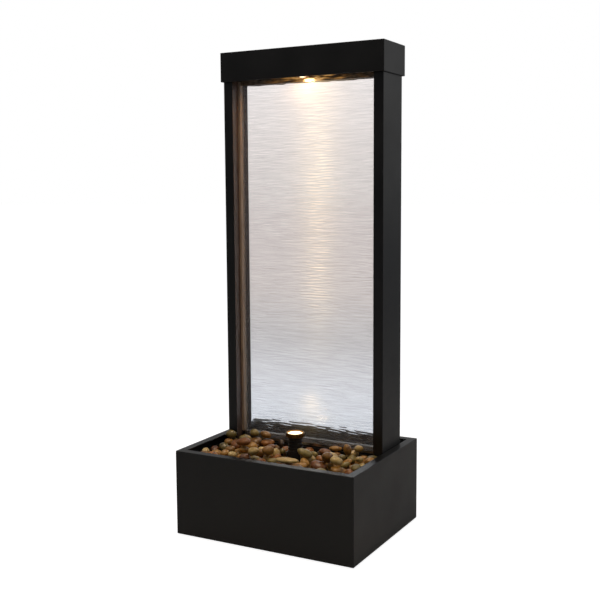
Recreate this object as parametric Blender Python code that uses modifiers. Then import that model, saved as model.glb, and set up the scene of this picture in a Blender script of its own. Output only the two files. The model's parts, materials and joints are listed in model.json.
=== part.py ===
"""Waterfall fountain with a glass panel: a pebble-filled base, a black sheet-metal tower with a
lift-off hood, a pump that feeds a header trough through the right post, and two spot lamps.

Metres, +Z up, +Y to the back. The origin is on the floor, under the middle of the base.
"""

import math

import bmesh
import bpy
import numpy as np
from mathutils import Matrix, Vector

MM = 0.001

# Clearances
SEAT = 0.3 * MM  # between two pieces that touch or slide over each other
SLIP = 1.0 * MM  # round a piece that lifts out by hand

# Base
BASE_WIDTH = 380 * MM
BASE_DEPTH = 300 * MM
BASE_HEIGHT = 168 * MM  # floor to the top of the rim
SHEET = 2.0 * MM  # every folded sheet-metal piece
RIM_WIDTH = 16.5 * MM  # flange turned inwards round the top of the base
EDGE_RADIUS = 0.7 * MM  # fold radius that shows on the outer edges
FOOT_HEIGHT = 3 * MM
FOOT_DIAMETER = 24 * MM
FOOT_INSET = 30 * MM
LINER_WALL = 2.5 * MM
LINER_GAP = 0.5 * MM

# Tower
TOTAL_HEIGHT = 938 * MM
TOWER_FRONT = 14.6 * MM  # front faces of the posts, behind the middle of the base
TOWER_DEPTH = 87.3 * MM
POST_HEM = 3 * MM
POST_REACH = 48 * MM  # how far the posts run down inside the base
POST_RIM_GAP = 0.6 * MM
BOLT_DIAMETER = 5 * MM
BOLT_HEAD_DIAMETER = 8 * MM
BOLT_HEAD_HEIGHT = 3.5 * MM
BOLT_RISE = 16 * MM  # bolts above the foot of the post
BOLT_BACK = 4 * MM  # front bolt behind the glass
BOLT_PITCH = 20 * MM
BRACKET_MARGIN = 12 * MM  # bolt to the end of the bracket's face
BRACKET_HEIGHT = 28 * MM
BRACKET_WING = 10 * MM
GLASS_THICKNESS = 5 * MM
GASKET = 8.7 * MM  # post box to glass
CHANNEL_WALL = 2 * MM
CHANNEL_LIP = 4.4 * MM  # how far the channel stands proud of the post's inner face
CLIP_SHEET = 1.5 * MM
CLIP_HEIGHT = 24 * MM
CLIP_LEG = 14 * MM
CLIP_OVERLAP = 4 * MM  # clear of the post's inner face
RAIL_HEIGHT = 15 * MM
RAIL_PROUD = 3 * MM  # rail above the rim
CROSSBAR_DROP = 32 * MM
CROSSBAR_BACK = 42 * MM  # its folded edge behind the glass

# Hood and header
CAP_HEIGHT = 57 * MM
CAP_SIDE_GAP = 1.4 * MM
CAP_END_GAP = 4.4 * MM
GLASS_IN_CAP = 25 * MM
BOX_IN_CAP = 31 * MM
TROUGH_DEPTH = 42 * MM
TROUGH_WALL = 1.5 * MM
TROUGH_HEIGHT = 30 * MM
TROUGH_LIFT = 2.5 * MM  # trough floor above the hood's lower edge
SPILL_STEP = 0.5 * MM  # spill edge above the glass
LIP_SHEET = 1.5 * MM
LIP_DROP = 6 * MM  # lip below the hood's lower edge
WATER_SLOT = 3 * MM  # lip to glass
CROSSBAR_RISE = 20 * MM
HEADER_BAR_RISE = 24 * MM
HEADER_BAR_BACK = 12 * MM  # its front edge behind the trough's front

# Pebbles
TRAY_FLOOR = 126 * MM
TRAY_WALL = 2.5 * MM
TRAY_EDGE = 28 * MM
TRAY_GAP = 2 * MM
LEG_WIDTH = 14 * MM
LEG_INSET = 18 * MM  # front legs and the first slots, from the tray's front
SLOT_WIDTH = 3.5 * MM
SLOT_LENGTH = 30 * MM
SLOT_SPACING = 14 * MM
SLOT_ROWS = 3
BED_TOP = 163 * MM
BED_BUMP = 4.5 * MM
BED_CELL = 15 * MM

# Rear cover
COVER_DROP = 2.5 * MM  # below the rim
COVER_LEDGE = 12.3 * MM  # ledge below the rim
LEDGE_WIDTH = 10 * MM  # under the cover
LEDGE_RISE = 8 * MM
FINGER_SLOT_LENGTH = 32 * MM
FINGER_SLOT_WIDTH = 22 * MM
FINGER_SLOT_SPACING = 180 * MM

# Base lamp
LAMP_Y = -15 * MM
LAMP_TOP = 196 * MM
LAMP_BODY_DIAMETER = 29 * MM
LAMP_BODY_LENGTH = 48 * MM
LAMP_BEZEL_DIAMETER = 37 * MM
LAMP_BEZEL_HEIGHT = 9 * MM
LAMP_PIVOT_RISE = 12 * MM  # pivot above the bottom of the body
LAMP_BEZEL_WIDTH = 2.5 * MM
LAMP_RIBS = 4
LAMP_RIB_DEPTH = 1.2 * MM
LAMP_PIVOT_BOSS = 6 * MM  # plain side of the body above the pivot
LAMP_TILT_ROOM = 11.5 * MM  # pebbles to the body, in front and behind
LAMP_SIDE_ROOM = 2 * MM  # pebbles to the pivot screws
EAR_SHEET = 1.6 * MM
EAR_WIDTH = 16 * MM
PIVOT_DIAMETER = 4 * MM
PIVOT_HEAD_DIAMETER = 7.2 * MM
PIVOT_HEAD_HEIGHT = 3 * MM
PIVOT_REACH = 5 * MM  # how far a pivot screw runs into the lamp body

# Top lamp
DOWNLIGHT_DIAMETER = 25 * MM
DOWNLIGHT_BEZEL_HEIGHT = 5 * MM
DOWNLIGHT_BEZEL_WIDTH = 2.5 * MM
DOWNLIGHT_LIFT = 0.5 * MM  # bezel above the hood's lower edge
STEM_DIAMETER = 9 * MM
STEM_RISE = 7 * MM  # above the lip's shelf
NUT_DIAMETER = 14.6 * MM
NUT_HEIGHT = 4 * MM

# Pump and plumbing
HOSE_DIAMETER = 12 * MM
HOSE_FLAT = math.cos(math.pi / 10)  # the hose is drawn with ten sides: its flats against its corners
HOSE_WALL = 1.5 * MM
HOSE_DROP = 8 * MM  # top of the hose below the top of the post's box
HOSE_BEND = 48 * MM
HOSE_RUN = 30 * MM  # straight stretch before the bend
HOSE_OVERLAP = 14 * MM  # hose pushed on to a fitting
SPOUT_WALL = 1.5 * MM
SPOUT_BEND = 10 * MM
SPOUT_RISE = 2 * MM  # start of its bend above the lip's shelf
SPOUT_END = 22 * MM  # down into the trough
PUMP_WIDTH = 50 * MM
PUMP_LENGTH = 40 * MM
PUMP_HEIGHT = 44 * MM
VOLUTE_DIAMETER = 40 * MM
VOLUTE_LENGTH = 16 * MM
VOLUTE_WALL = 3 * MM
ROTOR_DIAMETER = 17 * MM
ROTOR_LENGTH = 25 * MM
SHAFT_DIAMETER = 3 * MM
CHAMBER_EASE = 1.5 * MM  # volute wall made thicker round the chamber
INLET_DIAMETER = 12 * MM
HUB_DIAMETER = 8 * MM
VANES = 6
VANE_WIDTH = 7 * MM
VANE_THICKNESS = 1.6 * MM
DISC_THICKNESS = 2 * MM
INTAKE_LENGTH = 12 * MM
INTAKE_WALL = 2 * MM
DIAL_DIAMETER = 13 * MM
DIAL_THICKNESS = 3 * MM
DIAL_STUB = 6 * MM
SUCTION_HEIGHT = 8 * MM
SUCTION_DIAMETER = 15 * MM
SUCTION_INSET = 8 * MM
CLAMP_WIDTH = 7 * MM
CLAMP_SHEET = 0.8 * MM
CLAMP_ROOM = 0.9 * MM  # clamp to the inside of the post

# Wiring
LEAD_DIAMETER = 4 * MM
GLAND_X = -110 * MM
GLAND_Z = 140 * MM
GLAND_DIAMETER = 24 * MM
GLAND_HOLE = 16 * MM
GLAND_FLANGE = 2.5 * MM
GLAND_PROUD = 1.5 * MM
CORD_SOCKET = 7 * MM
CORD_SOCKET_DEPTH = 8 * MM
LEAD_SPACING = 7 * MM

# Places worked out from the sizes above
HALF_WIDTH = BASE_WIDTH / 2
HALF_DEPTH = BASE_DEPTH / 2
RIM_INNER_X = HALF_WIDTH - RIM_WIDTH
RIM_INNER_Y = HALF_DEPTH - RIM_WIDTH
LINER_HALF_X = HALF_WIDTH - SHEET - LINER_GAP
LINER_HALF_Y = HALF_DEPTH - SHEET - LINER_GAP
LINER_INNER_X = LINER_HALF_X - LINER_WALL
LINER_INNER_Y = LINER_HALF_Y - LINER_WALL
LINER_BOTTOM = FOOT_HEIGHT + SHEET + SEAT
BASIN_FLOOR = LINER_BOTTOM + LINER_WALL

# Each post has a closed square box at its front, which takes the hose and its clamp.
POST_FACE = HOSE_DIAMETER + 2 * (SEAT + CLAMP_SHEET + CLAMP_ROOM + SHEET)
POST_BOX_DEPTH = POST_FACE
POST_OUTER = RIM_INNER_X - POST_RIM_GAP
POST_INNER = POST_OUTER - POST_FACE
POST_WALL = POST_OUTER - SHEET  # inner side of the post's outer wall
POST_BOTTOM = BASE_HEIGHT - POST_REACH
BOLT_Z = POST_BOTTOM + BOLT_RISE
BOX_REAR = TOWER_FRONT + POST_BOX_DEPTH
TOWER_REAR = TOWER_FRONT + TOWER_DEPTH
BOX_X = (POST_INNER + POST_OUTER) / 2
BOX_Y = TOWER_FRONT + POST_BOX_DEPTH / 2

CAP_BOTTOM = TOTAL_HEIGHT - CAP_HEIGHT
POST_TOP = TOTAL_HEIGHT - SHEET - SEAT
BOX_TOP = CAP_BOTTOM + BOX_IN_CAP

GLASS_FRONT = BOX_REAR + GASKET
GLASS_REAR = GLASS_FRONT + GLASS_THICKNESS
BOLT_YS = {"front": GLASS_REAR + BOLT_BACK, "rear": GLASS_REAR + BOLT_BACK + BOLT_PITCH}
GLASS_TOP = CAP_BOTTOM + GLASS_IN_CAP
RAIL_TOP = BASE_HEIGHT + RAIL_PROUD
RAIL_BOTTOM = RAIL_TOP - RAIL_HEIGHT
RAIL_FRONT = GLASS_FRONT - SEAT - CHANNEL_WALL
RAIL_REAR = GLASS_REAR + SEAT + CHANNEL_WALL
CHANNEL_OUTER = POST_WALL - SEAT
CHANNEL_INNER = POST_INNER - CHANNEL_LIP
GLASS_HALF = CHANNEL_OUTER - CHANNEL_WALL - SEAT

TROUGH_BOTTOM = CAP_BOTTOM + TROUGH_LIFT
TROUGH_FRONT = GLASS_REAR + SEAT
TROUGH_REAR = TROUGH_FRONT + TROUGH_DEPTH
LIP_REAR = GLASS_FRONT - WATER_SLOT
LIP_FRONT = LIP_REAR - LIP_SHEET
CROSSBAR_BOTTOM = BOX_TOP + SEAT
LIP_SHELF = CROSSBAR_BOTTOM + SHEET + SEAT

LEDGE_TOP = BASE_HEIGHT - COVER_LEDGE
COVER_BOTTOM = LEDGE_TOP + SEAT
COVER_TOP = BASE_HEIGHT - COVER_DROP
COVER_FRONT = RAIL_REAR + SLIP
COVER_REAR = RIM_INNER_Y - SLIP

TRAY_FRONT = -RIM_INNER_Y + TRAY_GAP
TRAY_SHOULDER = TOWER_FRONT - TRAY_GAP
TRAY_REAR = RAIL_FRONT - TRAY_GAP
TRAY_HALF = RIM_INNER_X - TRAY_GAP
TONGUE_HALF = POST_INNER - TRAY_GAP
BED_BOTTOM = TRAY_FLOOR + TRAY_WALL + SEAT

LAMP_BODY_TOP = LAMP_TOP - LAMP_BEZEL_HEIGHT - SEAT
LAMP_BODY_BOTTOM = LAMP_BODY_TOP - LAMP_BODY_LENGTH
LAMP_PIVOT = LAMP_BODY_BOTTOM + LAMP_PIVOT_RISE
EAR_INNER = LAMP_BODY_DIAMETER / 2 + 2 * SEAT
PIVOT_END = EAR_INNER + EAR_SHEET + SEAT + PIVOT_HEAD_HEIGHT
STEM_TOP = LIP_SHELF + STEM_RISE

SPOUT_RADIUS = HOSE_DIAMETER / 2 * HOSE_FLAT - HOSE_WALL - SEAT
PUMP_BOTTOM = BASIN_FLOOR + SEAT + SUCTION_HEIGHT
PUMP_Z = PUMP_BOTTOM + PUMP_HEIGHT / 2
CHAMBER_RADIUS = VOLUTE_DIAMETER / 2 - VOLUTE_WALL - CHAMBER_EASE
PUMP_X = BOX_X - HOSE_BEND - HOSE_RUN - VOLUTE_DIAMETER / 2
VOLUTE_FRONT = BOX_Y - VOLUTE_LENGTH / 2
VOLUTE_REAR = BOX_Y + VOLUTE_LENGTH / 2
PUMP_FRONT = VOLUTE_REAR + SEAT
SPIGOT_Z = PUMP_Z + CHAMBER_RADIUS - SPOUT_RADIUS
INTAKE_FRONT = VOLUTE_FRONT - SEAT - INTAKE_LENGTH
HOSE_TOP = BOX_TOP - HOSE_DROP

# colour (linear), roughness, metallic, alpha
FINISHES = {
    "powder_coat": ((0.008, 0.008, 0.009), 0.42, 0.0, 1.0),
    "black_plastic": ((0.012, 0.012, 0.013), 0.5, 0.0, 1.0),
    "rubber": ((0.02, 0.02, 0.02), 0.8, 0.0, 1.0),
    "grey_gasket": ((0.19, 0.16, 0.15), 0.55, 0.0, 1.0),
    "glass": ((0.86, 0.9, 0.9), 0.04, 0.0, 0.35),
    "stainless": ((0.56, 0.56, 0.55), 0.3, 1.0, 1.0),
    "brass": ((0.7, 0.5, 0.22), 0.35, 1.0, 1.0),
    "pebbles": ((0.3, 0.2, 0.12), 0.45, 0.0, 1.0),
    "lens": ((1.0, 0.93, 0.76), 0.1, 0.0, 1.0),
    "vinyl_hose": ((0.6, 0.63, 0.62), 0.3, 0.0, 0.6),
    "ceramic": ((0.8, 0.8, 0.78), 0.3, 0.0, 1.0),
    "magnet": ((0.05, 0.09, 0.16), 0.4, 0.0, 1.0),
}


def clear_scene():
    for obj in list(bpy.data.objects):
        bpy.data.objects.remove(obj, do_unlink=True)


def new_collection(name, hidden=False):
    collection = bpy.data.collections.new(name)
    collection.hide_render = hidden
    bpy.context.scene.collection.children.link(collection)
    return collection


clear_scene()
FOUNTAIN = new_collection("waterfall_fountain")
CUTTERS = new_collection("cutters", hidden=True)


def paint(obj, finish):
    """Gives an object its own Principled material with the values of a finish."""
    colour, roughness, metallic, alpha = FINISHES[finish]
    material = bpy.data.materials.new(f"{obj.name}_{finish}")
    material.use_nodes = True
    shader = material.node_tree.nodes["Principled BSDF"]
    shader.inputs["Base Color"].default_value = (*colour, 1.0)
    shader.inputs["Roughness"].default_value = roughness
    shader.inputs["Metallic"].default_value = metallic
    shader.inputs["Alpha"].default_value = alpha
    obj.data.materials.clear()
    obj.data.materials.append(material)


def add_object(name, data, finish=None):
    """Links an object as a sub-part, or as a hidden cutter where it has no finish."""
    obj = bpy.data.objects.new(name, data)
    if finish:
        FOUNTAIN.objects.link(obj)
        paint(obj, finish)
    else:
        CUTTERS.objects.link(obj)
        obj.hide_render = True
        obj.display_type = "WIRE"
    return obj


def mesh_from(name, build):
    """A mesh made by build(bm), with its normals facing out."""
    bm = bmesh.new()
    build(bm)
    bmesh.ops.recalc_face_normals(bm, faces=bm.faces[:])
    mesh = bpy.data.meshes.new(name)
    bm.to_mesh(mesh)
    bm.free()
    return mesh


def box_into(bm, low, high):
    low, high = Vector(low), Vector(high)
    place = Matrix.Translation((low + high) / 2) @ Matrix.Diagonal((*(high - low), 1))
    bmesh.ops.create_cube(bm, size=1, matrix=place)


def block(name, low, high, finish=None, edge=0.0):
    """A box between two corners, its origin at its middle."""
    low, high = Vector(low), Vector(high)
    middle = (low + high) / 2
    mesh = mesh_from(name, lambda bm: box_into(bm, low - middle, high - middle))
    obj = add_object(name, mesh, finish)
    obj.location = middle
    if edge:
        add_bevel(obj, edge)
    return obj


def blocks(name, corners):
    """One cutter or join piece made of several boxes."""

    def build(bm):
        for low, high in corners:
            box_into(bm, low, high)

    return add_object(name, mesh_from(name, build))


AXES = {
    "X": Matrix(((0, 0, 1), (1, 0, 0), (0, 1, 0))).to_4x4(),
    "Y": Matrix(((1, 0, 0), (0, 0, -1), (0, 1, 0))).to_4x4(),
    "Z": Matrix.Identity(4),
}


def rod(name, start, end, diameter, finish=None, sides=16):
    """A cylinder between two points."""
    start, end = Vector(start), Vector(end)
    radius = diameter / 2
    length = (end - start).length

    def build(bm):
        bmesh.ops.create_cone(
            bm, cap_ends=True, segments=sides, radius1=radius, radius2=radius, depth=length
        )

    obj = add_object(name, mesh_from(name, build), finish)
    turn = (end - start).to_track_quat("Z", "Y").to_matrix().to_4x4()
    obj.matrix_world = Matrix.Translation((start + end) / 2) @ turn
    shade(obj)
    return obj


def shade(obj):
    obj.data.shade_smooth()
    obj.data.set_sharp_from_angle(angle=math.radians(35))


def add_bevel(obj, width, segments=1):
    bevel = obj.modifiers.new("edge", "BEVEL")
    bevel.width = width
    bevel.segments = segments
    bevel.limit_method = "ANGLE"
    bevel.angle_limit = math.radians(40)


def add_wall(obj, thickness, offset=-1.0):
    wall = obj.modifiers.new("wall", "SOLIDIFY")
    wall.thickness = thickness
    wall.offset = offset
    wall.use_even_offset = True


def boolean(obj, other, operation):
    modifier = obj.modifiers.new(other.name, "BOOLEAN")
    modifier.operation = operation
    modifier.solver = "EXACT"
    modifier.object = other


def cut(obj, *others):
    for other in others:
        boolean(obj, other, "DIFFERENCE")


def join(obj, *others):
    for other in others:
        boolean(obj, other, "UNION")


def settled(obj):
    """Turns a curve or a modified object into a plain mesh object with the same name and place."""
    bpy.context.view_layer.update()
    graph = bpy.context.evaluated_depsgraph_get()
    mesh = bpy.data.meshes.new_from_object(obj.evaluated_get(graph))
    bm = bmesh.new()
    bm.from_mesh(mesh)
    bmesh.ops.remove_doubles(bm, verts=bm.verts[:], dist=1e-6)
    bm.to_mesh(mesh)
    bm.free()
    name = obj.name
    place = obj.matrix_world.copy()
    homes = list(obj.users_collection)
    hidden = obj.hide_render
    bpy.data.objects.remove(obj, do_unlink=True)
    result = bpy.data.objects.new(name, mesh)
    for home in homes:
        home.objects.link(result)
    result.matrix_world = place
    result.hide_render = hidden
    if hidden:
        result.display_type = "WIRE"
    return result


def rounded(points, radius):
    """The outline with each corner replaced by the two ends of a small fold and its middle."""
    corners = []
    count = len(points)
    for i in range(count):
        here = Vector(points[i])
        back = (Vector(points[i - 1]) - here).normalized()
        ahead = (Vector(points[(i + 1) % count]) - here).normalized()
        first = here + back * radius
        last = here + ahead * radius
        middle = here + (back + ahead) * radius * (1 - math.sqrt(0.5))
        corners += [first[:], middle[:], last[:]]
    return corners


def extrusion(name, outlines, axis, start, end, finish=None):
    """Flat outlines drawn out along an axis. An outline inside another is a hole. Seen along X the
    outline is (y, z), along Y it is (x, z), and along Z it is (x, y)."""
    curve = bpy.data.curves.new(name, "CURVE")
    curve.dimensions = "2D"
    curve.fill_mode = "BOTH"
    curve.extrude = abs(end - start) / 2
    for outline in outlines:
        spline = curve.splines.new("POLY")
        spline.points.add(len(outline) - 1)
        for point, (u, v) in zip(spline.points, outline):
            point.co = (u, v, 0, 1)
        spline.use_cyclic_u = True
    obj = add_object(name, curve, finish)
    middle = (start + end) / 2
    shift = {"X": (middle, 0, 0), "Y": (0, middle, 0), "Z": (0, 0, middle)}[axis]
    obj.matrix_world = Matrix.Translation(shift) @ AXES[axis]
    return obj


def turned(name, profile, place, axis="Z", finish=None, sides=24, ring=False):
    """A profile of (radius, height) points, read down its outer side, turned about an axis through
    place. A ring's profile closes on itself; any other starts and ends on the axis."""
    count = len(profile)
    edges = [(i, i + 1) for i in range(count - 1)]
    if ring:
        edges.append((count - 1, 0))
    mesh = bpy.data.meshes.new(name)
    mesh.from_pydata([(r, 0, z) for r, z in profile], edges, [])
    obj = add_object(name, mesh, finish)
    screw = obj.modifiers.new("turn", "SCREW")
    screw.axis = "Z"
    screw.steps = sides
    screw.render_steps = sides
    screw.use_merge_vertices = True
    screw.merge_threshold = 1e-6
    # Along X or Y the profile's height runs towards +X or +Y.
    turn = {
        "X": Matrix.Rotation(math.radians(90), 4, "Y"),
        "Y": Matrix.Rotation(math.radians(-90), 4, "X"),
        "Z": Matrix.Identity(4),
    }[axis]
    obj.matrix_world = Matrix.Translation(place) @ turn
    obj = settled(obj)
    shade(obj)
    return obj


def smooth_path(points, steps=3):
    """Points along a centripetal Catmull-Rom curve. A span between straight neighbours stays one run."""
    given = [Vector(p) for p in points]
    padded = [2 * given[0] - given[1], *given, 2 * given[-1] - given[-2]]
    path = [given[0]]
    for i in range(1, len(padded) - 2):
        a, b, c, d = padded[i - 1 : i + 3]
        if max((c - b).angle(b - a), (c - b).angle(d - c)) < 0.01:
            path.append(c)
            continue
        # Knots grow with the square root of each span, so a short span beside a long one stays tight.
        ta = 0.0
        tb = ta + math.sqrt((b - a).length)
        tc = tb + math.sqrt((c - b).length)
        td = tc + math.sqrt((d - c).length)
        for t in np.linspace(tb, tc, steps + 1)[1:]:
            ab = a.lerp(b, (t - ta) / (tb - ta))
            bc = b.lerp(c, (t - tb) / (tc - tb))
            cd = c.lerp(d, (t - tc) / (td - tc))
            abc = ab.lerp(bc, (t - ta) / (tc - ta))
            bcd = bc.lerp(cd, (t - tb) / (td - tb))
            path.append(abc.lerp(bcd, (t - tb) / (tc - tb)))
    return path


def arc(centre, start, end, steps=7):
    """A quarter turn about centre from centre + start to centre + end."""
    centre, start, end = Vector(centre), Vector(start), Vector(end)
    angles = np.linspace(0, math.pi / 2, steps)
    return [centre + start * math.cos(a) + end * math.sin(a) for a in angles]


def tube(name, path, diameter, finish, resolution=2, wall=0.0):
    """A round tube along a path: solid with flat ends, or open-ended with a wall."""
    curve = bpy.data.curves.new(name, "CURVE")
    curve.dimensions = "3D"
    curve.bevel_depth = diameter / 2
    curve.bevel_resolution = resolution
    curve.use_fill_caps = not wall
    spline = curve.splines.new("POLY")
    spline.points.add(len(path) - 1)
    for point, place in zip(spline.points, path):
        point.co = (*place, 1)
    obj = add_object(name, curve, finish)
    if wall:
        obj = settled(obj)
        add_wall(obj, wall)
        shade(obj)
    return obj


def both_sides(build):
    """Calls build(side, sign) for the left (-X) and the right (+X)."""
    for side, sign in (("left", -1), ("right", 1)):
        build(side, sign)


def open_box(name, low, high, finish, flange=0.0):
    """Five walls of a box with no top, or with a flange turned in round the top, as a surface."""

    def build(bm):
        box_into(bm, low, high)
        top = max(bm.faces, key=lambda f: f.calc_center_median().z)
        if flange:
            bmesh.ops.inset_region(bm, faces=[top], thickness=flange, use_even_offset=True)
        bmesh.ops.delete(bm, geom=[top], context="FACES")

    return add_object(name, mesh_from(name, build), finish)


def gland_hole(name):
    """Drill for the cable gland, through the base's rear wall and the liner."""
    start = (GLAND_X, LINER_INNER_Y - 5 * MM, GLAND_Z)
    end = (GLAND_X, HALF_DEPTH + 5 * MM, GLAND_Z)
    return rod(name, start, end, GLAND_HOLE)


def base_shell():
    shell = open_box(
        "base_shell",
        (-HALF_WIDTH, -HALF_DEPTH, FOOT_HEIGHT),
        (HALF_WIDTH, HALF_DEPTH, BASE_HEIGHT),
        "powder_coat",
        flange=RIM_WIDTH,
    )
    add_wall(shell, SHEET)
    add_bevel(shell, EDGE_RADIUS)
    cut(shell, gland_hole("shell_gland_hole"))


def reservoir_liner():
    liner = open_box(
        "reservoir_liner",
        (-LINER_HALF_X, -LINER_HALF_Y, LINER_BOTTOM),
        (LINER_HALF_X, LINER_HALF_Y, BASE_HEIGHT - SHEET - LINER_GAP),
        "black_plastic",
    )
    add_wall(liner, LINER_WALL)
    cut(liner, gland_hole("liner_gland_hole"))


def feet():
    for row, y in (("front", -1), ("rear", 1)):
        for side, x in (("left", -1), ("right", 1)):
            place = (x * (HALF_WIDTH - FOOT_INSET), y * (HALF_DEPTH - FOOT_INSET), 0)
            radius = FOOT_DIAMETER / 2
            top = FOOT_HEIGHT - SEAT
            profile = [(0, top), (radius, top), (radius - 1 * MM, 0), (0, 0)]
            turned(f"foot_{row}_{side}", profile, place, finish="rubber", sides=20)


def cable_gland():
    """A rubber grommet in the rear wall, with a blind socket for the mains cord on the outside."""
    neck = GLAND_HOLE / 2 - SEAT
    flange = GLAND_DIAMETER / 2
    inner = LINER_INNER_Y - SEAT
    outer = HALF_DEPTH + SEAT
    socket = CORD_SOCKET / 2
    end = HALF_DEPTH + GLAND_PROUD
    profile = [
        (0, end - CORD_SOCKET_DEPTH),
        (socket, end - CORD_SOCKET_DEPTH),
        (socket, end),
        (flange, end),
        (flange, outer),
        (neck, outer),
        (neck, inner),
        (flange, inner),
        (flange, inner - GLAND_FLANGE),
        (0, inner - GLAND_FLANGE),
    ]
    turned("cable_gland", profile, (GLAND_X, 0, GLAND_Z), "Y", "rubber", sides=20)


def post(side, sign):
    """A folded post: a closed box at the front and one thin wall running to the back, with a hem."""
    outer, inner, wall = POST_OUTER, POST_INNER, POST_WALL
    outline = [
        (outer, TOWER_FRONT),
        (outer, TOWER_REAR),
        (outer - POST_HEM, TOWER_REAR),
        (outer - POST_HEM, TOWER_REAR - SHEET),
        (wall, TOWER_REAR - SHEET),
        (wall, BOX_REAR),
        (inner, BOX_REAR),
        (inner, TOWER_FRONT),
    ]
    hollow = [
        (inner + SHEET, TOWER_FRONT + SHEET),
        (wall, TOWER_FRONT + SHEET),
        (wall, BOX_REAR - SHEET),
        (inner + SHEET, BOX_REAR - SHEET),
    ]
    fold = min(EDGE_RADIUS, SHEET / 3)
    outlines = [rounded(outline, fold), hollow]
    outlines = [[(sign * x, y) for x, y in line] for line in outlines]
    body = settled(
        extrusion(f"{side}_post", outlines, "Z", POST_BOTTOM, POST_TOP, "powder_coat")
    )
    # Above BOX_TOP only the outer wall is left, which carries the hood.
    reach = 5 * MM
    low = (inner - reach, TOWER_FRONT - reach, BOX_TOP)
    high = (wall, TOWER_REAR + reach, POST_TOP + reach)
    xs = sorted((sign * low[0], sign * high[0]))
    notch = block(f"{side}_post_top_cut", (xs[0], *low[1:]), (xs[1], *high[1:]))
    cut(body, notch, *bolt_holes(f"{side}_post", sign))


def bolt_holes(name, sign):
    """Drills for the bolts that hold one post to its bracket."""
    for row, y in BOLT_YS.items():
        start = (sign * (POST_WALL - 4 * MM), y, BOLT_Z)
        end = (sign * (POST_OUTER + SHEET + 4 * MM), y, BOLT_Z)
        yield rod(f"{name}_hole_{row}", start, end, BOLT_DIAMETER + 2 * SEAT, sides=12)


def post_bracket(side, sign):
    """A hat-section bracket that packs the post off the wall of the base."""
    near = POST_OUTER + SEAT
    far = LINER_INNER_X - SEAT
    first = BOLT_YS["front"] - BRACKET_MARGIN
    last = BOLT_YS["rear"] + BRACKET_MARGIN
    wing = BRACKET_WING
    half = BRACKET_HEIGHT / 2
    outline = [
        (near, first),
        (near, last),
        (far - SHEET, last),
        (far - SHEET, last + wing),
        (far, last + wing),
        (far, last - SHEET),
        (near + SHEET, last - SHEET),
        (near + SHEET, first + SHEET),
        (far, first + SHEET),
        (far, first - wing),
        (far - SHEET, first - wing),
        (far - SHEET, first),
    ]
    outline = [(sign * x, y) for x, y in outline]
    name = f"{side}_post_bracket"
    bracket = settled(extrusion(name, [outline], "Z", BOLT_Z - half, BOLT_Z + half, "stainless"))
    cut(bracket, *bolt_holes(name, sign))


def post_bolts(side, sign):
    """Hexagon-head bolts, put in from inside the post."""
    head = BOLT_HEAD_DIAMETER / 2
    shank = BOLT_DIAMETER / 2
    top = POST_WALL - SEAT
    under = top - BOLT_HEAD_HEIGHT
    length = 2 * SHEET + 4 * MM
    for row, y in BOLT_YS.items():
        place = (0, y, BOLT_Z)
        profile = [
            (0, top + length),
            (shank, top + length),
            (shank, top),
            (head, top),
            (head, under),
            (0, under),
        ]
        bolt = turned(f"post_bolt_{side}_{row}", profile, place, "X", "stainless", sides=12)
        if sign < 0:
            bolt.matrix_world = Matrix.Rotation(math.pi, 4, "Z") @ bolt.matrix_world
            bolt.location = (0, y, BOLT_Z)


def glass_panel():
    block(
        "glass_panel",
        (-GLASS_HALF, GLASS_FRONT, RAIL_BOTTOM + CHANNEL_WALL + SEAT),
        (GLASS_HALF, GLASS_REAR, GLASS_TOP),
        "glass",
        edge=0.6 * MM,
    )


def glass_channel(side, sign):
    """A U-section that holds one edge of the glass. Its thick front leg packs it off the post."""
    front = BOX_REAR + SEAT
    back = GLASS_REAR + SEAT + CHANNEL_WALL
    web = CHANNEL_OUTER - CHANNEL_WALL
    outline = [
        (CHANNEL_INNER, front),
        (CHANNEL_OUTER, front),
        (CHANNEL_OUTER, back),
        (POST_INNER, back),
        (POST_INNER, back - CHANNEL_WALL),
        (web, back - CHANNEL_WALL),
        (web, GLASS_FRONT - SEAT),
        (CHANNEL_INNER, GLASS_FRONT - SEAT),
    ]
    outline = [(sign * x, y) for x, y in outline]
    bottom = RAIL_TOP + SEAT
    top = TROUGH_BOTTOM - SEAT
    extrusion(f"{side}_glass_channel", [outline], "Z", bottom, top, "grey_gasket")


def glass_clip(side, sign):
    """An angle behind the glass that keeps the channel against the post."""
    back = GLASS_REAR + CHANNEL_WALL + 2 * SEAT
    plate = CHANNEL_OUTER - CLIP_SHEET
    edge = POST_INNER + CLIP_OVERLAP
    outline = [
        (CHANNEL_OUTER, back),
        (CHANNEL_OUTER, back + CLIP_LEG),
        (plate, back + CLIP_LEG),
        (plate, back + CLIP_SHEET),
        (edge, back + CLIP_SHEET),
        (edge, back),
    ]
    outline = [(sign * x, y) for x, y in outline]
    middle = (RAIL_TOP + CAP_BOTTOM) / 2
    half = CLIP_HEIGHT / 2
    extrusion(f"{side}_glass_clip", [outline], "Z", middle - half, middle + half, "stainless")


def bottom_rail():
    """A U-section under the glass; the water film runs over its front lip into the pebbles."""
    outline = [
        (RAIL_FRONT, RAIL_BOTTOM),
        (RAIL_REAR, RAIL_BOTTOM),
        (RAIL_REAR, RAIL_TOP),
        (RAIL_REAR - CHANNEL_WALL, RAIL_TOP),
        (RAIL_REAR - CHANNEL_WALL, RAIL_BOTTOM + CHANNEL_WALL),
        (RAIL_FRONT + CHANNEL_WALL, RAIL_BOTTOM + CHANNEL_WALL),
        (RAIL_FRONT + CHANNEL_WALL, RAIL_TOP),
        (RAIL_FRONT, RAIL_TOP),
    ]
    extrusion("bottom_rail", [outline], "X", -CHANNEL_OUTER, CHANNEL_OUTER, "stainless")


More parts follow.
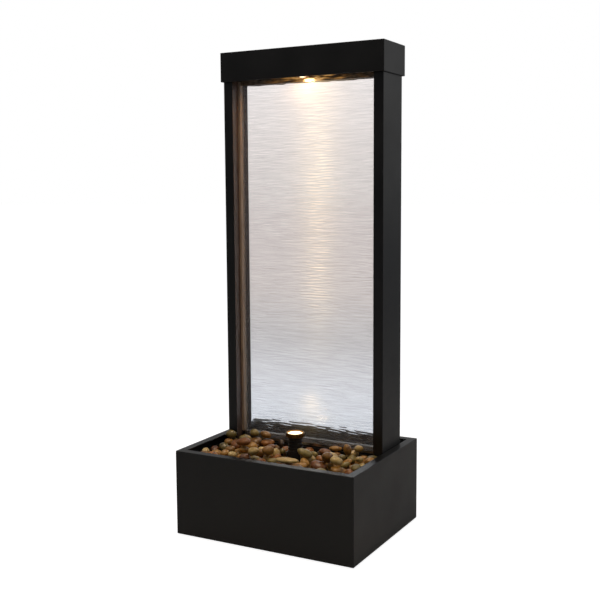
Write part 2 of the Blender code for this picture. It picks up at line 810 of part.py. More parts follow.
def lower_crossbar():
    """An angle between the posts that carries the rail and the front edge of the rear cover."""
    top = min(RAIL_BOTTOM - SEAT, LEDGE_TOP)
    rear = GLASS_REAR + CROSSBAR_BACK
    outline = [
        (RAIL_FRONT, top - SHEET),
        (rear - SHEET, top - SHEET),
        (rear - SHEET, top - CROSSBAR_DROP),
        (rear, top - CROSSBAR_DROP),
        (rear, top),
        (RAIL_FRONT, top),
    ]
    extrusion("lower_crossbar", [outline], "X", -CHANNEL_OUTER, CHANNEL_OUTER, "powder_coat")


def cover_ledge():
    """An angle on the liner's rear wall, under the back edge of the rear cover."""
    rear = LINER_INNER_Y - SEAT
    front = COVER_REAR - LEDGE_WIDTH
    outline = [
        (front, LEDGE_TOP - SHEET),
        (rear, LEDGE_TOP - SHEET),
        (rear, LEDGE_TOP + LEDGE_RISE),
        (rear - SHEET, LEDGE_TOP + LEDGE_RISE),
        (rear - SHEET, LEDGE_TOP),
        (front, LEDGE_TOP),
    ]
    extrusion("cover_ledge", [outline], "X", -POST_INNER, POST_INNER, "powder_coat")


def rear_cover():
    """A lift-out plate behind the glass, folded down at the front and back, with finger slots."""
    outline = [
        (COVER_FRONT, COVER_BOTTOM),
        (COVER_FRONT + SHEET, COVER_BOTTOM),
        (COVER_FRONT + SHEET, COVER_TOP - SHEET),
        (COVER_REAR - SHEET, COVER_TOP - SHEET),
        (COVER_REAR - SHEET, COVER_BOTTOM),
        (COVER_REAR, COVER_BOTTOM),
        (COVER_REAR, COVER_TOP),
        (COVER_FRONT, COVER_TOP),
    ]
    half = POST_OUTER - POST_HEM - SLIP
    cover = settled(extrusion("rear_cover", [outline], "X", -half, half, "powder_coat"))
    y = (COVER_FRONT + COVER_REAR) / 2
    for side, x in (("left", -FINGER_SLOT_SPACING / 2), ("right", FINGER_SLOT_SPACING / 2)):
        low = (x - FINGER_SLOT_LENGTH / 2, y - FINGER_SLOT_WIDTH / 2, COVER_TOP - 2 * SHEET)
        high = (x + FINGER_SLOT_LENGTH / 2, y + FINGER_SLOT_WIDTH / 2, COVER_TOP + SHEET)
        cut(cover, block(f"finger_slot_{side}", low, high))


def tray_corners(margin):
    """The T-shaped plan of the tray, drawn in by a margin."""
    half = TRAY_HALF - margin
    tongue = TONGUE_HALF - margin
    front = TRAY_FRONT + margin
    shoulder = TRAY_SHOULDER - margin
    rear = TRAY_REAR - margin
    right = [(half, front), (half, shoulder), (tongue, shoulder), (tongue, rear)]
    left = [(-x, y) for x, y in reversed(right)]
    return right + left


def pebble_tray():
    """A moulded tray on legs, slotted so that the water drains back to the basin."""

    def build(bm):
        floor = bm.faces.new([bm.verts.new((x, y, TRAY_FLOOR)) for x, y in tray_corners(0)])
        rim = bmesh.ops.extrude_edge_only(bm, edges=floor.edges[:])
        top = [v for v in rim["geom"] if isinstance(v, bmesh.types.BMVert)]
        bmesh.ops.translate(bm, verts=top, vec=(0, 0, TRAY_EDGE))

    tray = add_object("pebble_tray", mesh_from("pebble_tray", build), "black_plastic")
    # The surface is open at the top, so its normals are set by the way its floor faces.
    if tray.data.polygons[0].normal.z > 0:
        tray.data.flip_normals()
    add_wall(tray, TRAY_WALL)
    join(tray, tray_legs())
    cut(tray, tray_slots(), lead_hole())


def tray_legs():
    """Square legs from the basin floor into the tray's floor."""
    low_z, high_z = BASIN_FLOOR + SEAT, TRAY_FLOOR + TRAY_WALL / 2
    half = LEG_WIDTH / 2
    edge_x = TRAY_HALF - LEG_INSET
    front_y = TRAY_FRONT + LEG_INSET
    side_y = TRAY_SHOULDER - LEG_INSET
    tongue_y = TRAY_REAR - LEG_WIDTH
    beside_pump = PUMP_X - PUMP_WIDTH / 2 - LEG_INSET
    places = [(-edge_x, front_y), (0, front_y), (edge_x, front_y)]
    places += [(-edge_x, side_y), (edge_x, side_y)]
    places += [(-TONGUE_HALF / 2, tongue_y), (beside_pump, tongue_y)]
    corners = []
    for x, y in places:
        corners.append(((x - half, y - half, low_z), (x + half, y + half, high_z)))
    return blocks("tray_legs", corners)


def tray_slots():
    """Rows of drain slots through the tray's floor, clear of the legs and the lamp."""
    low_z, high_z = TRAY_FLOOR - TRAY_WALL, TRAY_FLOOR + 2 * TRAY_WALL
    pitch = SLOT_LENGTH + SLOT_SPACING
    columns = int((TRAY_HALF - LEG_WIDTH) // pitch)
    first = TRAY_FRONT + LEG_INSET + LEG_WIDTH / 2 + LEG_INSET
    last = LAMP_Y - LAMP_BODY_DIAMETER / 2 - SLOT_SPACING
    rows = np.linspace(first, last, SLOT_ROWS)
    corners = []
    for y in rows:
        for column in range(-columns, columns + 1):
            x = column * pitch
            low = (x - SLOT_LENGTH / 2, y - SLOT_WIDTH / 2, low_z)
            high = (x + SLOT_LENGTH / 2, y + SLOT_WIDTH / 2, high_z)
            corners.append((low, high))
    return blocks("tray_slots", corners)


def lead_hole():
    """The hole under the base lamp that its lead drops through."""
    low = (0, LAMP_Y, TRAY_FLOOR - TRAY_WALL)
    high = (0, LAMP_Y, TRAY_FLOOR + 2 * TRAY_WALL)
    return rod("tray_lead_hole", low, high, LEAD_DIAMETER + 4 * MM, sides=12)


def pebble_bed():
    """One bumpy solid for the layer of loose pebbles, with room left round the lamp."""
    margin = TRAY_WALL + 2 * SEAT
    half = TRAY_HALF - margin
    front, rear = TRAY_FRONT + margin, TRAY_REAR - margin
    columns = round(2 * half / BED_CELL)
    rows = round((rear - front) / BED_CELL)
    heights = np.random.default_rng(5).uniform(-BED_BUMP, BED_BUMP, (columns + 1) * (rows + 1))

    def build(bm):
        grid = bmesh.ops.create_grid(bm, x_segments=columns, y_segments=rows, size=0.5)
        for vert, bump in zip(grid["verts"], heights):
            vert.co.x *= 2 * half
            vert.co.y = (vert.co.y + 0.5) * (rear - front) + front
            vert.co.z = BED_TOP + bump
        bmesh.ops.extrude_face_region(bm, geom=bm.faces[:])
        for vert in grid["verts"]:
            vert.co.z = BED_BOTTOM
        flat = math.radians(1)
        bmesh.ops.dissolve_limit(bm, angle_limit=flat, verts=bm.verts[:], edges=bm.edges[:])

    bed = add_object("pebble_bed", mesh_from("pebble_bed", build), "pebbles")
    low_z, high_z = BED_BOTTOM - 5 * MM, BED_TOP + 20 * MM
    tongue = TONGUE_HALF - margin
    shoulder = TRAY_SHOULDER - margin
    notches = blocks(
        "bed_notches",
        [
            ((tongue, shoulder, low_z), (half + 5 * MM, rear + 5 * MM, high_z)),
            ((-half - 5 * MM, shoulder, low_z), (-tongue, rear + 5 * MM, high_z)),
        ],
    )
    side_room = PIVOT_END + LAMP_SIDE_ROOM
    tilt_room = LAMP_BODY_DIAMETER / 2 + LAMP_TILT_ROOM
    pocket = block(
        "bed_lamp_pocket",
        (-side_room, LAMP_Y - tilt_room, low_z),
        (side_room, LAMP_Y + tilt_room, high_z),
    )
    cut(bed, notches, pocket)


def top_cap():
    """The hood: five walls, open underneath, that lifts off the tower."""
    half = POST_OUTER + CAP_SIDE_GAP + SHEET
    front = TOWER_FRONT - CAP_END_GAP - SHEET
    rear = TOWER_REAR + CAP_END_GAP + SHEET

    def build(bm):
        box_into(bm, (-half, front, CAP_BOTTOM), (half, rear, TOTAL_HEIGHT))
        bottom = min(bm.faces, key=lambda f: f.calc_center_median().z)
        bmesh.ops.delete(bm, geom=[bottom], context="FACES")

    cap = add_object("top_cap", mesh_from("top_cap", build), "powder_coat")
    add_wall(cap, SHEET)
    add_bevel(cap, EDGE_RADIUS)


def upper_crossbar():
    """An angle that lies on the boxes of the posts and carries the lip and the top lamp."""
    front = TOWER_FRONT + SEAT
    rear = BOX_REAR - SEAT
    bottom = CROSSBAR_BOTTOM
    outline = [
        (front, bottom),
        (rear, bottom),
        (rear, bottom + SHEET),
        (front + SHEET, bottom + SHEET),
        (front + SHEET, bottom + CROSSBAR_RISE),
        (front, bottom + CROSSBAR_RISE),
    ]
    bar = settled(
        extrusion("upper_crossbar", [outline], "X", -CHANNEL_OUTER, CHANNEL_OUTER, "powder_coat")
    )
    holes = {
        "lamp": (0, STEM_DIAMETER + 2 * SEAT),
        "spout": (BOX_X, 2 * SPOUT_RADIUS + 2 * SLIP),
        "lead": (-BOX_X, LEAD_DIAMETER + 2 * SLIP),
    }
    for name, (x, diameter) in holes.items():
        low, high = (x, BOX_Y, bottom - SHEET), (x, BOX_Y, bottom + 2 * SHEET)
        cut(bar, rod(f"crossbar_{name}_hole", low, high, diameter))


def rear_header_bar():
    """An angle between the posts, under and behind the trough."""
    front = TROUGH_FRONT + HEADER_BAR_BACK
    rear = TOWER_REAR - SHEET - SEAT
    top = TROUGH_BOTTOM - SEAT
    outline = [
        (front, top - SHEET),
        (rear, top - SHEET),
        (rear, top + HEADER_BAR_RISE),
        (rear - SHEET, top + HEADER_BAR_RISE),
        (rear - SHEET, top),
        (front, top),
    ]
    extrusion("rear_header_bar", [outline], "X", -CHANNEL_OUTER, CHANNEL_OUTER, "powder_coat")


def header_trough():
    """The water trough behind the glass. Its front wall is cut down to a spill edge."""
    half = CHANNEL_OUTER - SEAT
    trough = open_box(
        "header_trough",
        (-half, TROUGH_FRONT, TROUGH_BOTTOM),
        (half, TROUGH_REAR, TROUGH_BOTTOM + TROUGH_HEIGHT),
        "stainless",
    )
    add_wall(trough, TROUGH_WALL)
    inner = half - TROUGH_WALL
    spill = block(
        "trough_spill_cut",
        (-inner, TROUGH_FRONT - 5 * MM, GLASS_TOP + SPILL_STEP),
        (inner, TROUGH_FRONT + 2 * TROUGH_WALL, TROUGH_BOTTOM + TROUGH_HEIGHT + 5 * MM),
    )
    cut(trough, spill)


def spreader_lip():
    """A folded plate that hangs in front of the glass and turns the overflow into one film."""
    bottom = CAP_BOTTOM - LIP_DROP
    front = TOWER_FRONT + SEAT + SHEET + SEAT
    outline = [
        (LIP_FRONT, bottom),
        (LIP_REAR, bottom),
        (LIP_REAR, LIP_SHELF + LIP_SHEET),
        (front, LIP_SHELF + LIP_SHEET),
        (front, LIP_SHELF),
        (LIP_FRONT, LIP_SHELF),
    ]
    half = CHANNEL_INNER - SEAT
    lip = settled(extrusion("spreader_lip", [outline], "X", -half, half, "stainless"))
    low, high = (0, BOX_Y, LIP_SHELF - SHEET), (0, BOX_Y, LIP_SHELF + 2 * SHEET)
    cut(lip, rod("lip_lamp_hole", low, high, STEM_DIAMETER + 2 * SEAT))


def header_spout():
    """A rigid gooseneck from the top of the hose, over the glass and down into the trough."""
    bend = SPOUT_BEND
    turn_z = LIP_SHELF + SPOUT_RISE
    over_z = turn_z + bend
    drop_y = (TROUGH_FRONT + TROUGH_REAR) / 2
    path = [Vector((BOX_X, BOX_Y, HOSE_TOP - HOSE_OVERLAP))]
    path += arc((BOX_X, BOX_Y + bend, turn_z), (0, -bend, 0), (0, 0, bend), steps=6)
    path += arc((BOX_X, drop_y - bend, turn_z), (0, 0, bend), (0, bend, 0), steps=6)
    path.append(Vector((BOX_X, drop_y, over_z - SPOUT_END)))
    tube("header_spout", path, 2 * SPOUT_RADIUS, "black_plastic", resolution=2, wall=SPOUT_WALL)


def ribbed(radius, top, bottom, ribs, depth):
    """The side of a ribbed cylinder as (radius, height) points, from top to bottom."""
    pitch = (top - bottom) / (2 * ribs + 1)
    side = [(radius, top)]
    for i in range(ribs):
        z = top - pitch * (2 * i + 1)
        side += [(radius, z), (radius - depth, z - pitch * 0.2)]
        side += [(radius - depth, z - pitch * 0.8), (radius, z - pitch)]
    side.append((radius, bottom))
    return side


def base_lamp():
    """The lamp in the pebbles. Its body, bezel and lens tilt together on two pivot screws."""
    place = (0, LAMP_Y, LAMP_PIVOT)
    radius = LAMP_BODY_DIAMETER / 2
    top = LAMP_BODY_TOP - LAMP_PIVOT
    bottom = LAMP_BODY_BOTTOM - LAMP_PIVOT
    side = ribbed(radius, top, LAMP_PIVOT_BOSS, LAMP_RIBS, LAMP_RIB_DEPTH)
    foot = [(radius, bottom + 2 * MM), (radius - 2 * MM, bottom), (0, bottom)]
    outline = [(0, top), *side, *foot]
    body = turned("base_lamp_body", outline, place, finish="black_plastic", sides=20)
    cut(body, *pivot_holes("base_lamp_body"))

    rim = LAMP_BEZEL_DIAMETER / 2
    low = top + SEAT
    high = low + LAMP_BEZEL_HEIGHT
    window = rim - LAMP_BEZEL_WIDTH
    bezel = [
        (rim - 1 * MM, high),
        (rim, high - 1 * MM),
        (rim, low + 1.5 * MM),
        (rim - 2 * MM, low),
        (window, low),
        (window, high),
    ]
    turned("base_lamp_bezel", bezel, place, finish="brass", ring=True)

    lens = window - SEAT
    crown = [(0, high - 0.2 * MM), (lens * 0.6, high - 0.8 * MM), (lens, high - 2.2 * MM)]
    crown += [(lens, low + 0.5 * MM), (0, low + 0.5 * MM)]
    turned("base_lamp_lens", crown, place, finish="lens")


def pivot_holes(name):
    for side, sign in (("left", -1), ("right", 1)):
        start = (sign * (EAR_INNER - PIVOT_REACH - 2 * SEAT), LAMP_Y, LAMP_PIVOT)
        end = (sign * PIVOT_END, LAMP_Y, LAMP_PIVOT)
        yield rod(f"{name}_pivot_{side}", start, end, PIVOT_DIAMETER + 2 * SEAT, sides=12)


def base_lamp_bracket():
    """A U-bracket on the tray's floor, with an ear on each side of the lamp."""
    floor = BED_BOTTOM
    ear_top = LAMP_PIVOT + LAMP_PIVOT_BOSS
    outer = EAR_INNER + EAR_SHEET
    outline = [
        (-outer, floor),
        (outer, floor),
        (outer, ear_top),
        (EAR_INNER, ear_top),
        (EAR_INNER, floor + EAR_SHEET),
        (-EAR_INNER, floor + EAR_SHEET),
        (-EAR_INNER, ear_top),
        (-outer, ear_top),
    ]
    half = EAR_WIDTH / 2
    bracket = settled(
        extrusion(
            "base_lamp_bracket", [outline], "Y", LAMP_Y - half, LAMP_Y + half, "stainless"
        )
    )
    below = rod(
        "bracket_lead_hole",
        (0, LAMP_Y, floor - 2 * MM),
        (0, LAMP_Y, floor + 4 * MM),
        LEAD_DIAMETER + 2 * SLIP,
        sides=12,
    )
    cut(bracket, below, *pivot_holes("base_lamp_bracket"))


def base_lamp_pivot(side, sign):
    """A thumb screw through one ear of the bracket into the lamp body."""
    inner = EAR_INNER - PIVOT_REACH
    face = EAR_INNER + EAR_SHEET + SEAT
    profile = [
        (0, PIVOT_END),
        (PIVOT_HEAD_DIAMETER / 2, PIVOT_END),
        (PIVOT_HEAD_DIAMETER / 2, face),
        (PIVOT_DIAMETER / 2, face),
        (PIVOT_DIAMETER / 2, inner),
        (0, inner),
    ]
    place = (0, LAMP_Y, LAMP_PIVOT)
    screw = turned(f"base_lamp_pivot_{side}", profile, place, "X", "stainless", sides=12)
    if sign < 0:
        spin = Matrix.Rotation(math.pi, 4, "Z")
        screw.matrix_world = Matrix.Translation(place) @ spin @ Matrix.Rotation(math.pi / 2, 4, "Y")


def top_lamp():
    """The downlight in the hood, hung by a threaded stem and a nut."""
    place = (0, BOX_Y, 0)
    radius = DOWNLIGHT_DIAMETER / 2
    shoulder = CROSSBAR_BOTTOM - SEAT
    stem = STEM_DIAMETER / 2
    bezel_low = CAP_BOTTOM + DOWNLIGHT_LIFT
    bezel_high = bezel_low + DOWNLIGHT_BEZEL_HEIGHT
    side = ribbed(radius - 1 * MM, shoulder, bezel_high + SEAT, 3, 1 * MM)
    profile = [(0, STEM_TOP), (stem, STEM_TOP), (stem, shoulder), *side, (0, bezel_high + SEAT)]
    turned("top_lamp_body", profile, place, finish="black_plastic", sides=20)

    window = radius - DOWNLIGHT_BEZEL_WIDTH
    bezel = [(radius, bezel_high), (radius, bezel_low), (window, bezel_low), (window, bezel_high)]
    turned("top_lamp_bezel", bezel, place, finish="brass", sides=20, ring=True)

    lens = window - SEAT
    pane = [(0, bezel_high - 0.5 * MM), (lens, bezel_high - 0.5 * MM)]
    pane += [(lens, bezel_low + 1.5 * MM), (lens * 0.5, bezel_low + 0.6 * MM)]
    pane.append((0, bezel_low + 0.4 * MM))
    turned("top_lamp_lens", pane, place, finish="lens", sides=20)

    nut_low = LIP_SHELF + LIP_SHEET + SEAT
    nut_high = nut_low + NUT_HEIGHT
    across = NUT_DIAMETER / 2
    hole = stem + SEAT
    nut = [(across, nut_high), (across, nut_low), (hole, nut_low), (hole, nut_high)]
    turned("top_lamp_nut", nut, place, finish="brass", sides=12, ring=True)


def pump_body():
    """The motor block, with a well for the rotor."""
    half = PUMP_WIDTH / 2
    rear = PUMP_FRONT + PUMP_LENGTH
    body = block(
        "pump_body",
        (PUMP_X - half, PUMP_FRONT, PUMP_BOTTOM),
        (PUMP_X + half, rear, PUMP_BOTTOM + PUMP_HEIGHT),
        "black_plastic",
        edge=3 * MM,
    )
    well = rod(
        "rotor_well",
        (PUMP_X, PUMP_FRONT - 4 * MM, PUMP_Z),
        (PUMP_X, PUMP_FRONT + ROTOR_LENGTH + SLIP, PUMP_Z),
        ROTOR_DIAMETER + 2 * SLIP,
        sides=24,
    )
    cut(body, well)


def pump_volute():
    """The front housing round the impeller, with the outlet spigot on its side."""
    radius = VOLUTE_DIAMETER / 2
    chamber = CHAMBER_RADIUS
    front = VOLUTE_FRONT + VOLUTE_WALL
    profile = [
        (chamber, VOLUTE_REAR),
        (radius, VOLUTE_REAR),
        (radius, VOLUTE_FRONT),
        (INLET_DIAMETER / 2, VOLUTE_FRONT),
        (INLET_DIAMETER / 2, front),
        (chamber, front),
    ]
    place = (PUMP_X, 0, PUMP_Z)
    volute = turned("pump_volute", profile, place, "Y", "black_plastic", ring=True)
    end = PUMP_X + radius + HOSE_OVERLAP + 2 * MM
    start = PUMP_X + chamber - 3 * MM
    spigot = rod(
        "volute_spigot", (start, BOX_Y, SPIGOT_Z), (end, BOX_Y, SPIGOT_Z), 2 * SPOUT_RADIUS
    )
    bore = rod(
        "volute_bore",
        (PUMP_X, BOX_Y, SPIGOT_Z),
        (end + 4 * MM, BOX_Y, SPIGOT_Z),
        2 * (SPOUT_RADIUS - SPOUT_WALL),
        sides=12,
    )
    chamber_clear = rod(
        "volute_chamber",
        (PUMP_X, front, PUMP_Z),
        (PUMP_X, VOLUTE_REAR + 2 * MM, PUMP_Z),
        2 * chamber,
        sides=24,
    )
    join(volute, spigot)
    cut(volute, bore, chamber_clear)


def impeller():
    """Vaned wheel and magnet rotor in one piece, turning on the fixed shaft."""
    wheel = CHAMBER_RADIUS - SLIP
    bore = SHAFT_DIAMETER / 2 + SEAT
    front = VOLUTE_FRONT + VOLUTE_WALL + SLIP
    disc_front = front + VANE_WIDTH
    disc_rear = disc_front + DISC_THICKNESS
    rotor = ROTOR_DIAMETER / 2
    rear = PUMP_FRONT + ROTOR_LENGTH
    hub = HUB_DIAMETER / 2
    profile = [
        (bore, rear),
        (rotor, rear),
        (rotor, disc_rear),
        (wheel, disc_rear),
        (wheel, disc_front),
        (hub, disc_front),
        (hub, front),
        (bore, front),
    ]
    place = Vector((PUMP_X, 0, PUMP_Z))
    wheel_part = turned("impeller", profile, place, "Y", "magnet", sides=24, ring=True)

    def build(bm):
        for i in range(VANES):
            start = len(bm.verts)
            low = (hub - 1 * MM, front + 0.5 * MM, -VANE_THICKNESS / 2)
            high = (wheel - 0.6 * MM, disc_front + 1 * MM, VANE_THICKNESS / 2)
            box_into(bm, low, high)
            spin = Matrix.Rotation(2 * math.pi * i / VANES, 4, "Y")
            bmesh.ops.transform(bm, matrix=spin, verts=bm.verts[start:])

    vanes = add_object("impeller_vanes", mesh_from("impeller_vanes", build))
    vanes.location = place
    join(wheel_part, vanes)


def impeller_shaft():
    front = VOLUTE_FRONT + VOLUTE_WALL + SEAT
    rear = PUMP_FRONT + ROTOR_LENGTH + SLIP - SEAT
    start, end = (PUMP_X, front, PUMP_Z), (PUMP_X, rear, PUMP_Z)
    rod("impeller_shaft", start, end, SHAFT_DIAMETER, "ceramic", sides=12)


def intake_cover():
    """A slotted cup over the pump's inlet."""
    radius = VOLUTE_DIAMETER / 2 - 1 * MM
    wall = INTAKE_WALL
    rear = VOLUTE_FRONT - SEAT
    pin = DIAL_STUB / 2
    profile = [
        (radius - wall, rear),
        (radius, rear),
        (radius, INTAKE_FRONT),
        (pin, INTAKE_FRONT),
        (pin, INTAKE_FRONT + wall),
        (radius - wall, INTAKE_FRONT + wall),
    ]
    cup = turned("intake_cover", profile, (PUMP_X, 0, PUMP_Z), "Y", "black_plastic", ring=True)
    slots = []
    for row in (-12 * MM, -8.5 * MM, 8.5 * MM, 12 * MM):
        half = 12 * MM
        low = (PUMP_X - half, INTAKE_FRONT - 3 * MM, PUMP_Z + row - 1 * MM)
        high = (PUMP_X + half, INTAKE_FRONT + 2 * wall, PUMP_Z + row + 1 * MM)
        slots.append((low, high))
    cut(cup, blocks("intake_slots", slots))


def flow_dial():
    """The flow control on the front of the pump: a thin disc with a raised pointer."""
    rear = INTAKE_FRONT - SEAT
    front = rear - DIAL_THICKNESS
    disc = DIAL_DIAMETER / 2
    stub = DIAL_STUB / 2 - SEAT
    stub_end = INTAKE_FRONT + 6 * MM
    profile = [(0, stub_end), (stub, stub_end), (stub, rear), (disc, rear), (disc, front)]
    profile.append((0, front))
    dial = turned("flow_dial", profile, (PUMP_X, 0, PUMP_Z), "Y", "black_plastic", sides=20)
    pointer = block(
        "dial_pointer",
        (PUMP_X - 1 * MM, front - 2 * MM, PUMP_Z - 5 * MM),
        (PUMP_X + 1 * MM, front + 1 * MM, PUMP_Z + 5.5 * MM),
    )
    join(dial, pointer)


def suction_cups():
    """Four suction cups under the motor block."""
    profile = [
        (0, SUCTION_HEIGHT - SEAT),
        (3 * MM, SUCTION_HEIGHT - SEAT),
        (3 * MM, 4 * MM),
        (SUCTION_DIAMETER / 2, 0),
        (0, 0),
    ]
    inset = SUCTION_INSET
    for row, y in (("front", PUMP_FRONT + inset), ("rear", PUMP_FRONT + PUMP_LENGTH - inset)):
        for side, sign in (("left", -1), ("right", 1)):
            place = (PUMP_X + sign * (PUMP_WIDTH / 2 - inset), y, BASIN_FLOOR + SEAT)
            turned(f"suction_cup_{row}_{side}", profile, place, finish="rubber", sides=14)


def riser_hose():
    """The hose from the pump's spigot, round one bend and up inside the right post."""
    start = PUMP_X + VOLUTE_DIAMETER / 2 + 2 * MM
    bend = HOSE_BEND
    path = [Vector((start, BOX_Y, SPIGOT_Z))]
    path += arc((BOX_X - bend, BOX_Y, SPIGOT_Z + bend), (0, 0, -bend), (bend, 0, 0), steps=9)
    path.append(Vector((BOX_X, BOX_Y, HOSE_TOP)))
    tube("riser_hose", path, HOSE_DIAMETER, "vinyl_hose", resolution=3, wall=HOSE_WALL)


def hose_clamp(name, place, axis):
    inner = HOSE_DIAMETER / 2 + SEAT
    outer = inner + CLAMP_SHEET
    half = CLAMP_WIDTH / 2
    ring = [(outer, half), (outer, -half), (inner, -half), (inner, half)]
    turned(name, ring, place, axis, "stainless", sides=16, ring=True)


def hose_clamps():
    lower_x = PUMP_X + VOLUTE_DIAMETER / 2 + HOSE_OVERLAP / 2 + 2 * MM
    hose_clamp("lower_hose_clamp", (lower_x, BOX_Y, SPIGOT_Z), "X")
    hose_clamp("upper_hose_clamp", (BOX_X, BOX_Y, HOSE_TOP - HOSE_OVERLAP / 2), "Z")


def leads():
    """Three low-voltage leads that meet at the cable gland in the base's rear wall."""
    gland_y = LINER_INNER_Y - SEAT - GLAND_FLANGE - SEAT
    near_gland = gland_y - 14 * MM

    def into_gland(slot):
        x = GLAND_X + slot * LEAD_SPACING
        return [(x, near_gland + step, GLAND_Z) for step in (0, 9 * MM, 14 * MM)]

    stem_top = STEM_TOP + SEAT
    high = stem_top + 8.5 * MM
    upper = [
        (0, BOX_Y, stem_top),
        (0, BOX_Y, stem_top + 1.5 * MM),
        (0, BOX_Y, stem_top + 3 * MM),
        (-3 * MM, BOX_Y, stem_top + 7 * MM),
        (-12 * MM, BOX_Y, high),
        (-24 * MM, BOX_Y, high),
        (-BOX_X + 24 * MM, BOX_Y, high),
        (-BOX_X + 12 * MM, BOX_Y, high - 1 * MM),
        (-BOX_X + 3 * MM, BOX_Y, high - 6 * MM),
        (-BOX_X, BOX_Y, high - 16 * MM),
        (-BOX_X, BOX_Y, high - 30 * MM),
        (-BOX_X, BOX_Y, POST_BOTTOM + 8 * MM),
        (-BOX_X, BOX_Y, POST_BOTTOM - 6 * MM),
        (-BOX_X + 2 * MM, BOX_Y + 12 * MM, POST_BOTTOM - 38 * MM),
        (-BOX_X + 10 * MM, BOX_Y + 55 * MM, POST_BOTTOM - 48 * MM),
        (GLAND_X - 18 * MM, near_gland - 22 * MM, GLAND_Z - 30 * MM),
    ]
    tube("top_lamp_lead", smooth_path(upper + into_gland(-1)), LEAD_DIAMETER, "rubber")

    lower = [
        (0, LAMP_Y, BED_BOTTOM + 0.5 * MM),
        (0, LAMP_Y, TRAY_FLOOR - 22 * MM),
        (-18 * MM, LAMP_Y + 24 * MM, TRAY_FLOOR - 52 * MM),
        (-62 * MM, LAMP_Y + 80 * MM, TRAY_FLOOR - 56 * MM),
        (GLAND_X + 14 * MM, near_gland - 24 * MM, GLAND_Z - 34 * MM),
    ]
    tube("base_lamp_lead", smooth_path(lower + into_gland(1)), LEAD_DIAMETER, "rubber")

    tail = PUMP_FRONT + PUMP_LENGTH + SEAT
    pump = [
        (PUMP_X, tail, PUMP_Z + 6 * MM),
        (PUMP_X, tail + 6 * MM, PUMP_Z + 6 * MM),
        (PUMP_X, tail + 12 * MM, PUMP_Z + 6 * MM),
        (PUMP_X - 40 * MM, tail + 38 * MM, PUMP_Z + 14 * MM),
        (GLAND_X + 60 * MM, near_gland - 8 * MM, GLAND_Z - 44 * MM),
        (GLAND_X + 8 * MM, near_gland - 16 * MM, GLAND_Z - 12 * MM),
    ]
    tube("pump_lead", smooth_path(pump + into_gland(0)), LEAD_DIAMETER, "rubber")


def build_fountain():
    base_shell()
    reservoir_liner()
    feet()
    cable_gland()
    for part in (post, post_bracket, post_bolts, glass_channel, glass_clip, base_lamp_pivot):
        both_sides(part)
    glass_panel()
    bottom_rail()
    lower_crossbar()
    cover_ledge()
    rear_cover()
    pebble_tray()
    pebble_bed()
    top_cap()
    upper_crossbar()
    rear_header_bar()
    header_trough()
    spreader_lip()
    header_spout()
    base_lamp()
    base_lamp_bracket()
    top_lamp()
    pump_body()
    pump_volute()
    impeller()
    impeller_shaft()
    intake_cover()
    flow_dial()
    suction_cups()
    riser_hose()
    hose_clamps()
    leads()


build_fountain()
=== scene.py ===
import json
import math

import bpy
import numpy as np
from mathutils import Matrix, Vector


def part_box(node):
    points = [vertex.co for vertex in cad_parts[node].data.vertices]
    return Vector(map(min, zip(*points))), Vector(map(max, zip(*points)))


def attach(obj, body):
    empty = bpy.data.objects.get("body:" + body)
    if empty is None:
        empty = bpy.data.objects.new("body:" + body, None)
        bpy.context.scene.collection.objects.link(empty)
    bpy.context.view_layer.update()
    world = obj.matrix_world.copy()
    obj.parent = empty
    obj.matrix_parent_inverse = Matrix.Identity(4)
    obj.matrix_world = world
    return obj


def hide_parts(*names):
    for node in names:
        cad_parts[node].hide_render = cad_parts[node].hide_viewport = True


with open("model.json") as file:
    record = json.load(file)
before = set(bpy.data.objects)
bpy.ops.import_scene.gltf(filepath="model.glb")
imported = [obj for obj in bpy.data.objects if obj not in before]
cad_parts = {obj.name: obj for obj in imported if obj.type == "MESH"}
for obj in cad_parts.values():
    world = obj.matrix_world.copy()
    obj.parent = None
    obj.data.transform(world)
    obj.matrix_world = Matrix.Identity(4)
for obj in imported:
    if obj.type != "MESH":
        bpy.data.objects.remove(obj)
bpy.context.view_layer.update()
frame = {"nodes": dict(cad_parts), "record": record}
nodes = frame["nodes"]
mm = 0.001
print("frame loaded:", len(nodes), "nodes")


def boxOf(name):
    # lowest and highest corner of a node, as numpy arrays in metres
    low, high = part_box(name)
    return np.array(low), np.array(high)


def hexColour(code):
    # sRGB hex to linear: c / 12.92 where dark, ((c + 0.055) / 1.055) ^ 2.4 elsewhere
    values = [int(code[i : i + 2], 16) / 255 for i in (1, 3, 5)]
    return tuple(c / 12.92 if c <= 0.04045 else ((c + 0.055) / 1.055) ** 2.4 for c in values) + (1.0,)


def addNode(tree, kind, settings=None, links=None):
    # one node: settings are its properties, or inputs by name or number; links are outputs to plug in
    made = tree.nodes.new(kind)
    for name, value in (settings or {}).items():
        if isinstance(name, str) and hasattr(made, name):
            setattr(made, name, value)
        else:
            made.inputs[name].default_value = value
    for name, source in (links or {}).items():
        tree.links.new(source, made.inputs[name])
    return made


def newMaterial(name, values):
    # a Principled material with its constant sockets set
    material = bpy.data.materials.new(name)
    material.use_nodes = True
    shader = material.node_tree.nodes["Principled BSDF"]
    for socket, value in values.items():
        shader.inputs[socket].default_value = value
    return material, material.node_tree, shader


def objectPoint(tree, stretch=(1, 1, 1)):
    # object coordinates in metres, stretched for a pattern that runs one way
    place = addNode(tree, "ShaderNodeTexCoord").outputs["Object"]
    if stretch == (1, 1, 1):
        return place
    return addNode(tree, "ShaderNodeMapping", {"Scale": stretch}, {"Vector": place}).outputs["Vector"]


def noiseOf(tree, point, size, detail=2.0, rough=0.5):
    # cloudy noise whose spots are about size metres across
    settings = {"Scale": 1 / size, "Detail": detail, "Roughness": rough}
    return addNode(tree, "ShaderNodeTexNoise", settings, {"Vector": point}).outputs["Fac"]


